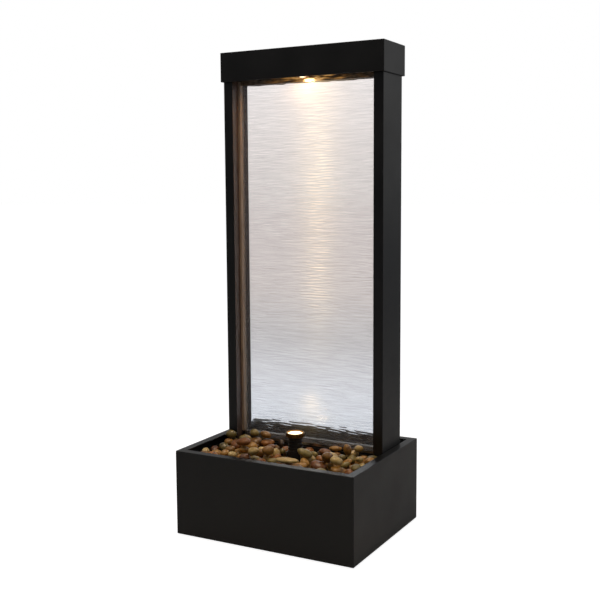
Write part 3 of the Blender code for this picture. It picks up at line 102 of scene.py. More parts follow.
def remap(tree, value, low, high, outLow, outHigh):
    # value from low..high to outLow..outHigh, held at both ends
    settings = {"From Min": low, "From Max": high, "To Min": outLow, "To Max": outHigh}
    return addNode(tree, "ShaderNodeMapRange", settings, {"Value": value}).outputs["Result"]


def rampOf(tree, value, stops):
    # colours along a 0..1 value, as (place, hex) stops
    ramp = addNode(tree, "ShaderNodeValToRGB", None, {"Fac": value})
    marks = ramp.color_ramp.elements
    for i, (place, code) in enumerate(stops):
        mark = marks[i] if i < 2 else marks.new(place)
        mark.position = place
        mark.color = hexColour(code)
    return ramp.outputs["Color"]


def bumpOf(tree, height, shader, distance, strength=1.0):
    bump = addNode(tree, "ShaderNodeBump", {"Distance": distance, "Strength": strength}, {"Height": height})
    tree.links.new(bump.outputs["Normal"], shader.inputs["Normal"])


def mathOf(tree, operation, *sides):
    # one sum; each side is an output or a number
    settings, links = {"operation": operation}, {}
    for i, side in enumerate(sides):
        (settings if isinstance(side, (int, float)) else links)[i] = side
    return addNode(tree, "ShaderNodeMath", settings, links).outputs["Value"]


# Materials

coatLook = {
    "dark": "#080809",
    "light": "#0d0d0e",
    "grain": 2.2 * mm,  # orange peel is about 1 mm; drawn coarser, to show
    "cloud": 90 * mm,
    # haze: painted warm lamp light, the brown that a post's inner face takes
    "haze": [(0.3, "#3b2c24"), (0.7, "#523f34")],
}


def powderCoat(name, roughness, specular, inner=0.0):
    # polyester powder coat, baked on folded steel: deep black, satin, with a fine orange-peel skin; a
    # post, whose inner face stands inner metres from the middle, has warm lamp light painted on that face as
    # a brown tint
    material, tree, shader = newMaterial(name, {"Specular IOR Level": specular})
    point = objectPoint(tree)
    cloud = noiseOf(tree, point, coatLook["cloud"], 3)
    grain = noiseOf(tree, point, coatLook["grain"], 1)
    colour = rampOf(tree, cloud, [(0.3, coatLook["dark"]), (0.7, coatLook["light"])])
    if inner:
        across = addNode(tree, "ShaderNodeSeparateXYZ", None, {0: point}).outputs["X"]
        near = remap(tree, mathOf(tree, "ABSOLUTE", across), inner + 0.1 * mm, inner + 0.5 * mm, 1.0, 0.0)
        # painted warm lamp light: a brown ramp, streaked up and down, takes the place of the black on the
        # post's inner face
        paintedPostLight = rampOf(tree, noiseOf(tree, objectPoint(tree, (1, 1, 0.15)), 5 * mm, 3), coatLook["haze"])
        blend = {0: near, 6: colour, 7: paintedPostLight}
        colour = addNode(tree, "ShaderNodeMix", {"data_type": "RGBA"}, blend).outputs[2]
    tree.links.new(colour, shader.inputs["Base Color"])
    tree.links.new(remap(tree, cloud, 0.3, 0.7, *roughness), shader.inputs["Roughness"])
    bumpOf(tree, grain, shader, 0.12 * mm, 0.5)
    return material


def mouldedPlastic():
    # ABS from a spark-textured mould: near black, a soft even sheen
    material, tree, shader = newMaterial("mouldedAbs", {"IOR": 1.53, "Specular IOR Level": 0.4})
    point = objectPoint(tree)
    colour = rampOf(tree, noiseOf(tree, point, 20 * mm), [(0.35, "#131315"), (0.65, "#1d1d1f")])
    tree.links.new(colour, shader.inputs["Base Color"])
    spark = noiseOf(tree, point, 1.2 * mm, 1)
    tree.links.new(remap(tree, spark, 0.3, 0.7, 0.38, 0.55), shader.inputs["Roughness"])
    bumpOf(tree, spark, shader, 0.08 * mm, 0.6)
    return material


def nitrileRubber():
    # moulded nitrile rubber: black, dull, with a grey bloom
    material, tree, shader = newMaterial("nitrileRubber", {"IOR": 1.52, "Specular IOR Level": 0.3})
    point = objectPoint(tree)
    bloom = noiseOf(tree, point, 6 * mm, 3)
    tree.links.new(rampOf(tree, bloom, [(0.35, "#161616"), (0.75, "#2a2a29")]), shader.inputs["Base Color"])
    tree.links.new(remap(tree, bloom, 0.3, 0.7, 0.62, 0.85), shader.inputs["Roughness"])
    bumpOf(tree, noiseOf(tree, point, 1.5 * mm), shader, 0.1 * mm, 0.5)
    return material


def greyGasket():
    # extruded PVC: warm grey, with die lines along its length
    material, tree, shader = newMaterial("extrudedPvc", {"IOR": 1.53})
    lines = noiseOf(tree, objectPoint(tree, (1, 1, 0.02)), 1.0 * mm, 1)
    tree.links.new(rampOf(tree, lines, [(0.3, "#7d6a5b"), (0.7, "#b39b86")]), shader.inputs["Base Color"])
    tree.links.new(remap(tree, lines, 0.3, 0.7, 0.32, 0.5), shader.inputs["Roughness"])
    bumpOf(tree, lines, shader, 0.1 * mm, 0.5)
    return material


def letLampsThrough(tree, shader, tint):
    # the light of lamps passes a clear pane straight through, tinted, so that what is behind it is lit
    clear = addNode(tree, "ShaderNodeBsdfTransparent", {"Color": hexColour(tint)})
    shadow = addNode(tree, "ShaderNodeLightPath").outputs["Is Shadow Ray"]
    links = {0: shadow, 1: shader.outputs["BSDF"], 2: clear.outputs["BSDF"]}
    mix = addNode(tree, "ShaderNodeMixShader", None, links)
    tree.links.new(mix.outputs["Shader"], tree.nodes["Material Output"].inputs["Surface"])


def floatGlass():
    # clear float glass: a trace of green, with faint drying marks in its roughness
    values = {"Transmission Weight": 1.0, "IOR": 1.5, "Base Color": hexColour("#f4f8f6")}
    material, tree, shader = newMaterial("floatGlass", values)
    marks = noiseOf(tree, objectPoint(tree, (1, 1, 0.35)), 25 * mm, 4, 0.6)
    tree.links.new(remap(tree, marks, 0.55, 0.8, 0.0, 0.05), shader.inputs["Roughness"])
    letLampsThrough(tree, shader, "#f4f8f6")
    return material


def brushedStainless():
    # grade 304 sheet, brushed along its length: bright, with fine streaks
    material, tree, shader = newMaterial("brushedStainless", {"Metallic": 1.0})
    streak = noiseOf(tree, objectPoint(tree, (0.03, 1, 1)), 0.9 * mm, 2)
    tree.links.new(rampOf(tree, streak, [(0.3, "#8e8a83"), (0.7, "#c4c0b8")]), shader.inputs["Base Color"])
    tree.links.new(remap(tree, streak, 0.3, 0.7, 0.22, 0.4), shader.inputs["Roughness"])
    bumpOf(tree, streak, shader, 0.03 * mm, 0.6)
    return material


# the painted glint of the top lamp on the spreader lip
lipLook = {
    "lampX": 20 * mm,  # where the top lamp's light falls
    "reach": (5 * mm, 120 * mm),  # from full glow to the last of it
    "glow": (0.75, 0.02),
    "colours": [(0.0, "#8a5518"), (0.4, "#e0a050"), (0.9, "#ffdf9a")],
}


def wetStainlessPaintedGlint():
    # the spreader lip: stainless under running water, a darker grey-brown than the brushed sheet, with the
    # top lamp's light painted on it as glowing gold streaks
    material, tree, shader = newMaterial("wetStainlessPaintedGlint", {"Metallic": 1.0})
    point = objectPoint(tree)
    streak = noiseOf(tree, objectPoint(tree, (0.3, 1, 1)), 2 * mm, 2)
    tree.links.new(rampOf(tree, streak, [(0.3, "#6b6258"), (0.7, "#a89c8c")]), shader.inputs["Base Color"])
    tree.links.new(remap(tree, streak, 0.3, 0.7, 0.28, 0.42), shader.inputs["Roughness"])
    bumpOf(tree, streak, shader, 0.3 * mm, 0.8)
    # painted glint: gold emission, strongest at lampX and gone by the end of its reach, broken up by the
    # noise
    across = addNode(tree, "ShaderNodeSeparateXYZ", None, {0: point}).outputs["X"]
    away = mathOf(tree, "ABSOLUTE", mathOf(tree, "SUBTRACT", across, lipLook["lampX"]))
    swirl = noiseOf(tree, objectPoint(tree, (0.22, 1, 1)), 4 * mm, 2)
    near = remap(tree, away, *lipLook["reach"], *lipLook["glow"])
    paintedGlint = mathOf(tree, "MULTIPLY", near, remap(tree, swirl, 0.4, 0.66, 0.02, 1.0))
    tree.links.new(rampOf(tree, paintedGlint, lipLook["colours"]), shader.inputs["Emission Color"])
    tree.links.new(paintedGlint, shader.inputs["Emission Strength"])
    return material


def turnedBrass():
    # brass turned on a lathe and aged: brown-gold metal with fine rings and patches of tarnish
    material, tree, shader = newMaterial("turnedBrass", {"Metallic": 1.0})
    rings = noiseOf(tree, objectPoint(tree, (0.05, 0.05, 1)), 0.6 * mm, 1)
    tarnish = noiseOf(tree, objectPoint(tree), 5 * mm, 3)
    tree.links.new(rampOf(tree, tarnish, [(0.35, "#5c3d1b"), (0.65, "#8f6c38")]), shader.inputs["Base Color"])
    tree.links.new(remap(tree, rings, 0.3, 0.7, 0.28, 0.45), shader.inputs["Roughness"])
    bumpOf(tree, rings, shader, 0.03 * mm, 0.5)
    return material


def clearVinyl():
    # plasticised PVC hose: milky, slightly yellow, see-through
    values = {"Transmission Weight": 0.6, "IOR": 1.5}
    material, tree, shader = newMaterial("clearVinyl", values)
    haze = noiseOf(tree, objectPoint(tree, (1, 1, 0.2)), 6 * mm)
    tree.links.new(rampOf(tree, haze, [(0.3, "#c9cbbf"), (0.7, "#e2e4da")]), shader.inputs["Base Color"])
    tree.links.new(remap(tree, haze, 0.3, 0.7, 0.2, 0.35), shader.inputs["Roughness"])
    return material


def groundCeramic():
    # ground zirconia: off-white, finely matt
    material, tree, shader = newMaterial("groundZirconia", {"IOR": 2.1, "Specular IOR Level": 0.5})
    speck = noiseOf(tree, objectPoint(tree), 0.8 * mm)
    tree.links.new(rampOf(tree, speck, [(0.3, "#dcdad3"), (0.7, "#efede8")]), shader.inputs["Base Color"])
    tree.links.new(remap(tree, speck, 0.3, 0.7, 0.25, 0.4), shader.inputs["Roughness"])
    return material


def ferriteRotor():
    # nylon moulded over a ferrite magnet: slate blue, a dull sheen
    material, tree, shader = newMaterial("nylonOverFerrite", {"IOR": 1.53})
    fleck = noiseOf(tree, objectPoint(tree), 1.5 * mm, 3)
    tree.links.new(rampOf(tree, fleck, [(0.35, "#27313c"), (0.65, "#3d4a58")]), shader.inputs["Base Color"])
    tree.links.new(remap(tree, fleck, 0.3, 0.7, 0.35, 0.5), shader.inputs["Roughness"])
    bumpOf(tree, fleck, shader, 0.05 * mm, 0.5)
    return material


lensLook = {
    "colours": [(0.0, "#fff4d6"), (0.8, "#ffeabc"), (0.94, "#ffd590"), (1.0, "#f0b46a")],  # middle to rim
    "baseStrength": 6.0,
    "topStrength": 5.0,
}


def litLens(name, node, strength):
    # frosted glass over a warm LED: white-hot in the middle, amber at its rim
    values = {"Roughness": 0.2, "IOR": 1.5, "Coat Weight": 0.5, "Coat Roughness": 0.05}
    material, tree, shader = newMaterial(name, values)
    low, high = boxOf(node)
    middle = (low + high) / 2
    place = addNode(tree, "ShaderNodeTexCoord").outputs["Object"]
    shift = {"Location": (-middle[0], -middle[1], 0), "Scale": (1, 1, 0)}
    flat = addNode(tree, "ShaderNodeMapping", shift, {"Vector": place}).outputs["Vector"]
    radius = addNode(tree, "ShaderNodeVectorMath", {"operation": "LENGTH"}, {0: flat}).outputs["Value"]
    out = remap(tree, radius, 0.0, (high[0] - low[0]) / 2, 0.0, 1.0)
    frost = noiseOf(tree, objectPoint(tree), 1.2 * mm, 1)
    colour = rampOf(tree, out, lensLook["colours"])
    tree.links.new(colour, shader.inputs["Base Color"])
    tree.links.new(colour, shader.inputs["Emission Color"])
    fall = remap(tree, out, 0.6, 1.0, strength, strength * 0.2)
    power = mathOf(tree, "MULTIPLY", fall, remap(tree, frost, 0.2, 0.8, 0.8, 1.15))
    tree.links.new(power, shader.inputs["Emission Strength"])
    return material


def paintNodes():
    # every node takes the material of its slot; the slots are the record's
    finishes = {
        "powder_coat": powderCoat("powderCoatedSteel", (0.3, 0.4), 0.5),
        "black_plastic": mouldedPlastic(),
        "rubber": nitrileRubber(),
        "grey_gasket": greyGasket(),
        "glass": floatGlass(),
        "stainless": brushedStainless(),
        "brass": turnedBrass(),
        "vinyl_hose": clearVinyl(),
        "ceramic": groundCeramic(),
        "magnet": ferriteRotor(),
    }
    # the posts' coat, with warm lamp light painted on their inner faces
    posts = powderCoat("lampLitPostCoat", (0.3, 0.4), 0.5, boxOf("right_post")[0][0])
    own = {
        "left_post": posts,
        "right_post": posts,
        "spreader_lip": wetStainlessPaintedGlint(),
        "rear_cover": powderCoat("mattePowderCoat", (0.85, 0.95), 0.03),
        "base_lamp_lens": litLens("litLensBase", "base_lamp_lens", lensLook["baseStrength"]),
        "top_lamp_lens": litLens("litLensTop", "top_lamp_lens", lensLook["topStrength"]),
    }
    for part in frame["record"]["subparts"]:
        name = part["node"]
        finish = own.get(name) or finishes.get(part["material_slot"])
        if finish is None:
            continue
        data = nodes[name].data
        data.materials.clear()
        data.materials.append(finish)
    print("nodes painted")


paintNodes()


def meshObject(name, points, faces, smooth=True):
    # a mesh object at the origin, from an array of points and an array of equal faces
    mesh = bpy.data.meshes.new(name)
    count, corners = faces.shape
    mesh.vertices.add(len(points))
    mesh.vertices.foreach_set("co", points.astype(np.float32).ravel())
    mesh.loops.add(count * corners)
    mesh.loops.foreach_set("vertex_index", faces.astype(np.int32).ravel())
    mesh.polygons.add(count)
    mesh.polygons.foreach_set("loop_start", np.arange(count, dtype=np.int32) * corners)
    mesh.update(calc_edges=True)
    mesh.validate()
    mesh.polygons.foreach_set("use_smooth", np.full(len(mesh.polygons), smooth))
    item = bpy.data.objects.new(name, mesh)
    bpy.context.scene.collection.objects.link(item)
    return item


def storeValues(item, name, values):
    # one number per vertex, which a material can read by name
    kept = item.data.attributes.new(name, "FLOAT", "POINT")
    kept.data.foreach_set("value", values.astype(np.float32).ravel())


# Water film

film = {
    "rows": 540,
    "columns": 68,
    "seed": 11,
    "pitch": 5.2 * mm,  # crest to crest
    "crest": 36 * mm,  # length of a crest across the glass
    "height": 0.12 * mm,  # of a ripple, each way
    "thickness": 0.7 * mm,
    "gap": 0.05 * mm,  # to what it runs over
    "glow": 0.34,
    # how strong the ripples are at each height in metres, as a share of the height above
    "calmAt": [0.165, 0.174, 0.19, 0.22, 0.3, 0.5, 0.8, 0.89, 0.905],
    "calm": [0, 1.6, 1.4, 0.5, 0.28, 0.75, 0.8, 0.3, 0],
    # how strong the painted lit column and its halo are at each height in metres
    "columnAt": [0.3, 0.46, 0.6, 0.7, 0.8, 0.86],
    "column": [0, 0.3, 0.45, 0.5, 0.3, 0.2],
    "haloAt": [0.25, 0.5, 0.8, 0.88],
    "halo": [0, 0.35, 1.0, 0.8],
}


def softNoise(rng, shape, step, band):
    # white noise filtered to the wavelengths that band(across, down) lets through, with a spread of 1
    field = rng.standard_normal(shape)
    across = np.fft.fftfreq(shape[1], step[1])[None, :]
    down = np.fft.fftfreq(shape[0], step[0])[:, None]
    field = np.fft.ifft2(np.fft.fft2(field) * band(across, down)).real
    return field / field.std()


def filmPath():
    # the line the water runs along, as (y, z): over the trough's edge and the glass, down its face,
    # over the rail's lip and down to the pebbles
    glassLow, glassHigh = boxOf("glass_panel")
    railLow, railHigh = boxOf("bottom_rail")
    gap = film["gap"]
    front = glassLow[1] - gap
    top = glassHigh[2] + 0.5 * mm + gap
    lipTop = railHigh[2] + gap
    lipFront = railLow[1] - gap
    bend = 1.5 * mm
    turn = np.linspace(0, np.pi / 2, 7)
    over = np.stack([front + bend * (1 - np.sin(turn)), top - bend * (1 - np.cos(turn))], 1)
    out = np.stack([front - bend * (1 - np.cos(turn)), lipTop + bend * (1 - np.sin(turn))], 1)
    down = np.stack([lipFront + 0.5 * mm * (1 - np.sin(turn)), lipTop - 0.5 * mm * (1 - np.cos(turn))], 1)
    start = np.array([[glassHigh[1] + 1.8 * mm, top]])
    end = np.array([[lipFront, lipTop - 9 * mm]])
    return np.concatenate([start, over, out, down, end])


def runAlong(path, count):
    # points at even steps along a line, and the way out from it at each: the run turned a quarter
    steps = np.linalg.norm(np.diff(path, axis=0), axis=1)
    length = np.concatenate([[0], np.cumsum(steps)])
    at = np.linspace(0, length[-1], count)
    points = np.stack([np.interp(at, length, path[:, k]) for k in (0, 1)], 1)
    run = np.gradient(points, axis=0)
    run /= np.linalg.norm(run, axis=1)[:, None]
    return points, np.stack([run[:, 1], -run[:, 0]], 1)


# the painted lamp light on the water film
glowLook = {
    # strength, then middle and spread across, then middle and spread in height, metres
    "flare": (0.2, 0.018, 0.012, 0.872, 0.007),
    "spread": (0.1, 0.02, 0.05, 0.868, 0.03),
    "spot": (0.6, 0.006, 0.014, 0.243, 0.016),
    "near": (0.1, 0.006, 0.03, 0.215, 0.02),
    "middle": 0.022,  # of the column and its halo
    "columnSpread": 0.022,
    "haloSpread": 0.04,
    "haloStrength": 0.2,
}


def paintedFilmLight(x, z, sparkle):
    # painted lamp light in the film, given out as emission: a flare under the lip, a column down the middle,
    # a spot over the base lamp; each is a bell curve across and another down, broken up by the ripples
    def bell(value, middle, spread):
        return np.exp(-0.5 * ((value - middle) / spread) ** 2)

    def patch(name):
        strength, across, wide, height, tall = glowLook[name]
        return strength * bell(x, across, wide) * bell(z, height, tall)

    flare, spread, spot, near = (patch(name) for name in ("flare", "spread", "spot", "near"))
    middle = glowLook["middle"]
    column = bell(x, middle, glowLook["columnSpread"]) * np.interp(z, film["columnAt"], film["column"])
    halo = glowLook["haloStrength"] * bell(x, middle, glowLook["haloSpread"])
    halo = halo * np.interp(z, film["haloAt"], film["halo"])
    return flare + spread + near + halo + spot * (0.3 + sparkle) + column * (0.1 + 1.2 * sparkle)


def waterFilm():
    # a closed sheet: z runs down its rows and x across its columns; its front stands out by the
    # thickness and a band of filtered noise, so that crests lie across and ripple downwards
    rng = np.random.default_rng(film["seed"])
    rows, columns = film["rows"], film["columns"]
    half = -boxOf("left_glass_channel")[1][0] - 0.4 * mm
    line, outward = runAlong(filmPath(), rows)
    x = np.linspace(-half, half, columns)
    step = (np.linalg.norm(line[1] - line[0]), x[1] - x[0])

    def ripples(across, down):
        ring = np.exp(-0.5 * ((np.abs(down) - 1 / film["pitch"]) * film["pitch"] / 0.32) ** 2)
        return ring * np.exp(-0.5 * (across * film["crest"] / 0.8) ** 2)

    def patches(across, down):
        return np.exp(-0.5 * (across * 0.12) ** 2 - 0.5 * (down * 0.10) ** 2)

    ripple = softNoise(rng, (rows, columns), step, ripples)
    patch = softNoise(rng, (rows, columns), step, patches)
    z = line[:, 1][:, None] + 0 * x
    calm = np.interp(z, film["calmAt"], film["calm"])
    calm = calm * np.clip(1 + 0.3 * patch, 0.4, 1.6)
    lift = film["thickness"] + film["height"] * ripple * calm
    place = line[:, None, :] + outward[:, None, :] * lift[:, :, None]
    front = np.stack([np.broadcast_to(x, z.shape), place[:, :, 0], place[:, :, 1]], 2)
    back = np.stack([np.broadcast_to(x, z.shape), line[:, 0][:, None] + 0 * x, z], 2)
    points = np.concatenate([front.reshape(-1, 3), back.reshape(-1, 3)])

    index = np.arange(rows * columns).reshape(rows, columns)
    faceFront = np.stack([index[:-1, :-1], index[1:, :-1], index[1:, 1:], index[:-1, 1:]], 2).reshape(-1, 4)
    faceBack = faceFront[:, ::-1] + rows * columns
    edge = np.concatenate([index[0, ::-1], index[1:, 0], index[-1, 1:], index[-2:0:-1, -1]])
    following = np.roll(edge, -1)
    shift = rows * columns
    faceEdge = np.stack([edge, edge + shift, following + shift, following], 1)
    item = meshObject("water_film", points, np.concatenate([faceFront, faceBack, faceEdge[:, ::-1]]))

    slope = np.gradient(ripple * calm, axis=0)
    slope = slope / slope.std()
    # painted glints: the steeper ripples take more of the painted lamp light
    sparkle = np.clip(slope * 0.42 + 0.1, 0, 1.0)
    storeValues(item, "filmSlope", np.tile(slope.ravel(), 2))
    storeValues(item, "filmPaintedLight", np.tile(paintedFilmLight(x[None, :] + 0 * z, z, sparkle).ravel(), 2))
    item.data.materials.append(waterMaterial())
    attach(item, "frame")
    print("water film:", len(item.data.polygons), "faces")


def waterMaterial():
    # running water, aerated a little: it bends what is behind it and veils it with a pale grey, lighter
    # towards the top; the ripples' shade and highlights are painted into that grey as darker and lighter
    # lines
    values = {"Transmission Weight": 0.95, "IOR": 1.33, "Roughness": 0.04}
    material, tree, shader = newMaterial("aeratedWater", values)
    height = addNode(tree, "ShaderNodeSeparateXYZ", None, {0: objectPoint(tree)}).outputs["Z"]
    along = remap(tree, height, 0.17, 0.9, 0.0, 1.0)
    veil = rampOf(tree, along, [(0.0, "#dddee3"), (0.4, "#e6dedd"), (0.8, "#efe6e6"), (1.0, "#f6eeef")])
    slope = addNode(tree, "ShaderNodeAttribute", {"attribute_name": "filmSlope"}).outputs["Fac"]
    glow = addNode(tree, "ShaderNodeAttribute", {"attribute_name": "filmPaintedLight"}).outputs["Fac"]
    streak = noiseOf(tree, objectPoint(tree, (0.06, 1, 1)), 2.2 * mm, 3)
    # painted shade and highlight: where a ripple slopes one way its line of the veil is lighter, the other
    # way darker
    lines = mathOf(tree, "MULTIPLY_ADD", slope, 0.07)
    drawn = remap(tree, lines, 0.2, 0.8, 0.77, 1.07)
    tone = mathOf(tree, "MULTIPLY", drawn, remap(tree, streak, 0.3, 0.7, 0.9, 1.05))
    tinted = addNode(tree, "ShaderNodeVectorMath", {"operation": "SCALE"}, {0: veil, "Scale": tone})
    tree.links.new(tinted.outputs["Vector"], shader.inputs["Base Color"])
    # painted lamp light: the film glows warm where its painted light runs high
    warm = rampOf(tree, glow, [(0.0, "#ffd98a"), (0.7, "#ffe2a6"), (1.0, "#fff0cf")])
    tree.links.new(warm, shader.inputs["Emission Color"])
    tree.links.new(mathOf(tree, "MULTIPLY", glow, film["glow"]), shader.inputs["Emission Strength"])
    letLampsThrough(tree, shader, "#e8e8ea")
    return material


waterFilm()

# Pebbles

pebbles = {
    "seed": 4,
    "cell": 1.0,  # of the height map, mm
    "length": (21.0, 33.0),  # mm, longest way through a stone
    "width": (0.72, 0.95),  # as a share of the length
    "thickness": (0.6, 0.88),  # as a share of the width
    "upright": 0.3,  # share of stones that stand or lean
    "tries": 60,
    "around": 12,  # faces round a stone
    "along": 8,  # faces from end to end
    "lump": 0.13,
    # room that the stones leave to what is round them, mm
    "rimRoom": 16.5 + 1.0,  # the rim's flange, and a little
    "postRoom": 1.0,
    "railRoom": 1.5,
    "lampRoom": 0.8,
    "lampHalf": 23,  # of the pocket round the lamp, front to back
}

stoneKinds = {
    # share of the stones, then the darkest, middle and lightest colour
    "sandstone": (0.5, ("#4a2f0e", "#8a6226", "#bf9148")),
    "olive": (0.2, ("#40361a", "#70622e", "#9b8a4f")),
    "quartzite": (0.1, ("#826a38", "#b0955a", "#d6c088")),
    "jasper": (0.16, ("#46250a", "#7d4b1a", "#b27636")),
    "basalt": (0.04, ("#261a10", "#473624", "#6a543a")),
}


def stoneGround():
    # height of whatever the stones rest on, in mm, on a grid over the tray; a wall is infinite
    trayLow, trayHigh = (v / mm for v in boxOf("pebble_tray"))
    bedLow, bedHigh = (v / mm for v in boxOf("pebble_bed"))
    shellHigh = boxOf("base_shell")[1] / mm
    postLow = boxOf("right_post")[0] / mm
    railLow = boxOf("bottom_rail")[0] / mm
    bracketLow, bracketHigh = (v / mm for v in boxOf("base_lamp_bracket"))
    pivotHigh = boxOf("base_lamp_pivot_right")[1] / mm
    cell = pebbles["cell"]
    reach, postRoom = pebbles["rimRoom"], pebbles["postRoom"]
    x = np.arange(-shellHigh[0], shellHigh[0] + cell, cell)
    y = np.arange(-shellHigh[1], railLow[1] + 20, cell)
    gx, gy = np.meshgrid(x, y, indexing="ij")
    ground = np.full(gx.shape, np.inf)
    wide = np.abs(gx)
    over = (wide < shellHigh[0] - reach) & (gy > -shellHigh[1] + reach) & (gy < postLow[1] - postRoom)
    tongue = (wide < postLow[0] - postRoom) & (gy > 0) & (gy < railLow[1] - pebbles["railRoom"])
    ground[over | tongue] = trayHigh[2] + 0.3
    narrow = bedHigh[0] - (trayHigh[0] - postLow[0]) - 2.6
    inside = (wide < bedHigh[0]) & (gy > bedLow[1]) & (gy < postLow[1] - 5.4)
    inside |= (wide < narrow - 2) & (gy > 0) & (gy < bedHigh[1])
    ground[inside] = bedLow[2]
    lampY = (bracketLow[1] + bracketHigh[1]) / 2
    pocket = (wide < pivotHigh[0] + pebbles["lampRoom"]) & (np.abs(gy - lampY) < pebbles["lampHalf"])
    ground[pocket] = np.inf
    return ground, x, y


def stoneTurn(rng, lean):
    # a turn matrix: round the upright by any angle, then tipped over by lean radians
    yaw, way = rng.uniform(0, 2 * np.pi, 2)
    tip = Matrix.Rotation(lean, 3, Vector((math.cos(way), math.sin(way), 0)))
    return np.array(tip @ Matrix.Rotation(yaw, 3, "Z"))


def stoneFootprint(halves, turn, cell):
    # lowest and highest surface of a turned ellipsoid over each grid cell it covers: the two roots in
    # z of p . A . p = 1, with A = turn . diag(1 / halves^2) . turn^T
    form = turn @ np.diag(1 / halves**2) @ turn.T
    reach = int(np.ceil(halves.max() / cell))
    steps = np.arange(-reach, reach + 1)
    ix, iy = np.meshgrid(steps, steps, indexing="ij")
    px, py = ix * cell, iy * cell
    b = form[0, 2] * px + form[1, 2] * py
    c = form[0, 0] * px**2 + 2 * form[0, 1] * px * py + form[1, 1] * py**2 - 1
    inside = b**2 - form[2, 2] * c
    hit = inside > 0
    root = np.sqrt(inside[hit])
    low = (-b[hit] - root) / form[2, 2]
    high = (-b[hit] + root) / form[2, 2]
    return ix[hit], iy[hit], low, high, reach


def crownOf(px, py):
    # how high the stones may reach, in mm: lower behind the lamp and just in front of it
    behind = 5 * math.exp(-(((px - 0) / 55) ** 2) - ((py - 26) / 26) ** 2)
    before = 9 * math.exp(-(((px + 4) / 24) ** 2) - ((py + 56) / 20) ** 2)
    return 167 - behind - before


def dropStones(rng):
    # each stone tries some places and keeps the lowest, resting on the height map, which it then raises
    ground, x, y = stoneGround()
    cell = pebbles["cell"]
    names = list(stoneKinds)
    shares = np.array([stoneKinds[name][0] for name in names])
    stones = []
    misses = 0
    while misses < 90:
        length = rng.uniform(*pebbles["length"]) * (0.82 if misses > 45 else 1.0)
        width = length * rng.uniform(*pebbles["width"])
        halves = np.array([length, width, width * rng.uniform(*pebbles["thickness"])]) / 2
        upright = rng.random() < pebbles["upright"]
        turn = stoneTurn(rng, rng.uniform(0.6, 1.5) if upright else rng.uniform(0, 0.35))
        ix, iy, low, high, reach = stoneFootprint(halves * 1.03, turn, cell)
        cx = rng.integers(reach, len(x) - reach, pebbles["tries"])
        cy = rng.integers(reach, len(y) - reach, pebbles["tries"])
        under = ground[cx[:, None] + ix, cy[:, None] + iy]
        rest = (under - low).max(axis=1)
        best = int(rest.argmin())
        place = np.array([x[cx[best]], y[cy[best]], rest[best]])
        crown = crownOf(place[0], place[1]) + rng.uniform(-2, 3)
        if not np.isfinite(rest[best]) or rest[best] + high.max() > crown:
            misses += 1
            continue
        misses = max(0, misses - 1)
        ground[cx[best] + ix, cy[best] + iy] = rest[best] + high
        stones.append((rng.choice(names, p=shares / shares.sum()), place, halves, turn, rng.random()))
    return stones, ground, x, y


featured = {
    # stones on top, one by one: x, y, length, width, thickness (mm), lean and turn (degrees), kind, shade
    "longCream": (34, -112, 46, 15, 11, 0, 12, "quartzite", 0.75),
    "leftOlive": (-154, -6, 22, 19, 17, 10, 30, "olive", 0.55),
    "leftOliveB": (-130, 2, 21, 18, 16, 10, 70, "olive", 0.45),
    "leftOliveC": (-112, 16, 21, 20, 15, 10, 10, "olive", 0.75),
    "tanByPost": (-82, 10, 27, 18, 14, 15, 5, "sandstone", 0.45),
    "creamFront": (-47, -96, 28, 22, 17, 10, 150, "quartzite", 0.6),
    "tanFront": (-18, -90, 27, 22, 19, 10, 80, "sandstone", 0.4),
    "rustLeft": (-92, -58, 34, 24, 16, 10, 170, "jasper", 0.35),
    "greenByLamp": (46, -62, 30, 21, 17, 25, 20, "olive", 0.85),
    "brownBig": (101, -72, 34, 24, 20, 30, 100, "sandstone", 0.2),
    "greyOval": (105, 2, 25, 20, 17, 75, 40, "sandstone", 0.3),
    "yellowBack": (121, 18, 25, 17, 14, 10, 150, "quartzite", 0.4),
    "creamRight": (127, -90, 27, 22, 17, 20, 60, "quartzite", 0.7),
    "creamSlant": (149, -38, 27, 15, 12, 20, 100, "quartzite", 0.35),
    "orangeBack": (66, 28, 28, 16, 11, 0, 5, "sandstone", 0.7),
}


def placeFeatured(stones, ground, x, y):
    # the listed stones rest on the others
    cell = pebbles["cell"]
    for px, py, length, width, thick, lean, turned, kind, shade in featured.values():
        halves = np.array([length, width, thick]) / 2
        tip = Matrix.Rotation(math.radians(lean), 3, "Y")
        turn = np.array(Matrix.Rotation(math.radians(turned), 3, "Z") @ tip)
        ix, iy, low, high, reach = stoneFootprint(halves * 1.03, turn, cell)
        cx, cy = int(round((px - x[0]) / cell)), int(round((py - y[0]) / cell))
        rest = (ground[cx + ix, cy + iy] - low).max()
        if not np.isfinite(rest):
            continue
        ground[cx + ix, cy + iy] = rest + high
        stones.append((kind, np.array([x[cx], y[cy], rest]), halves, turn, shade))


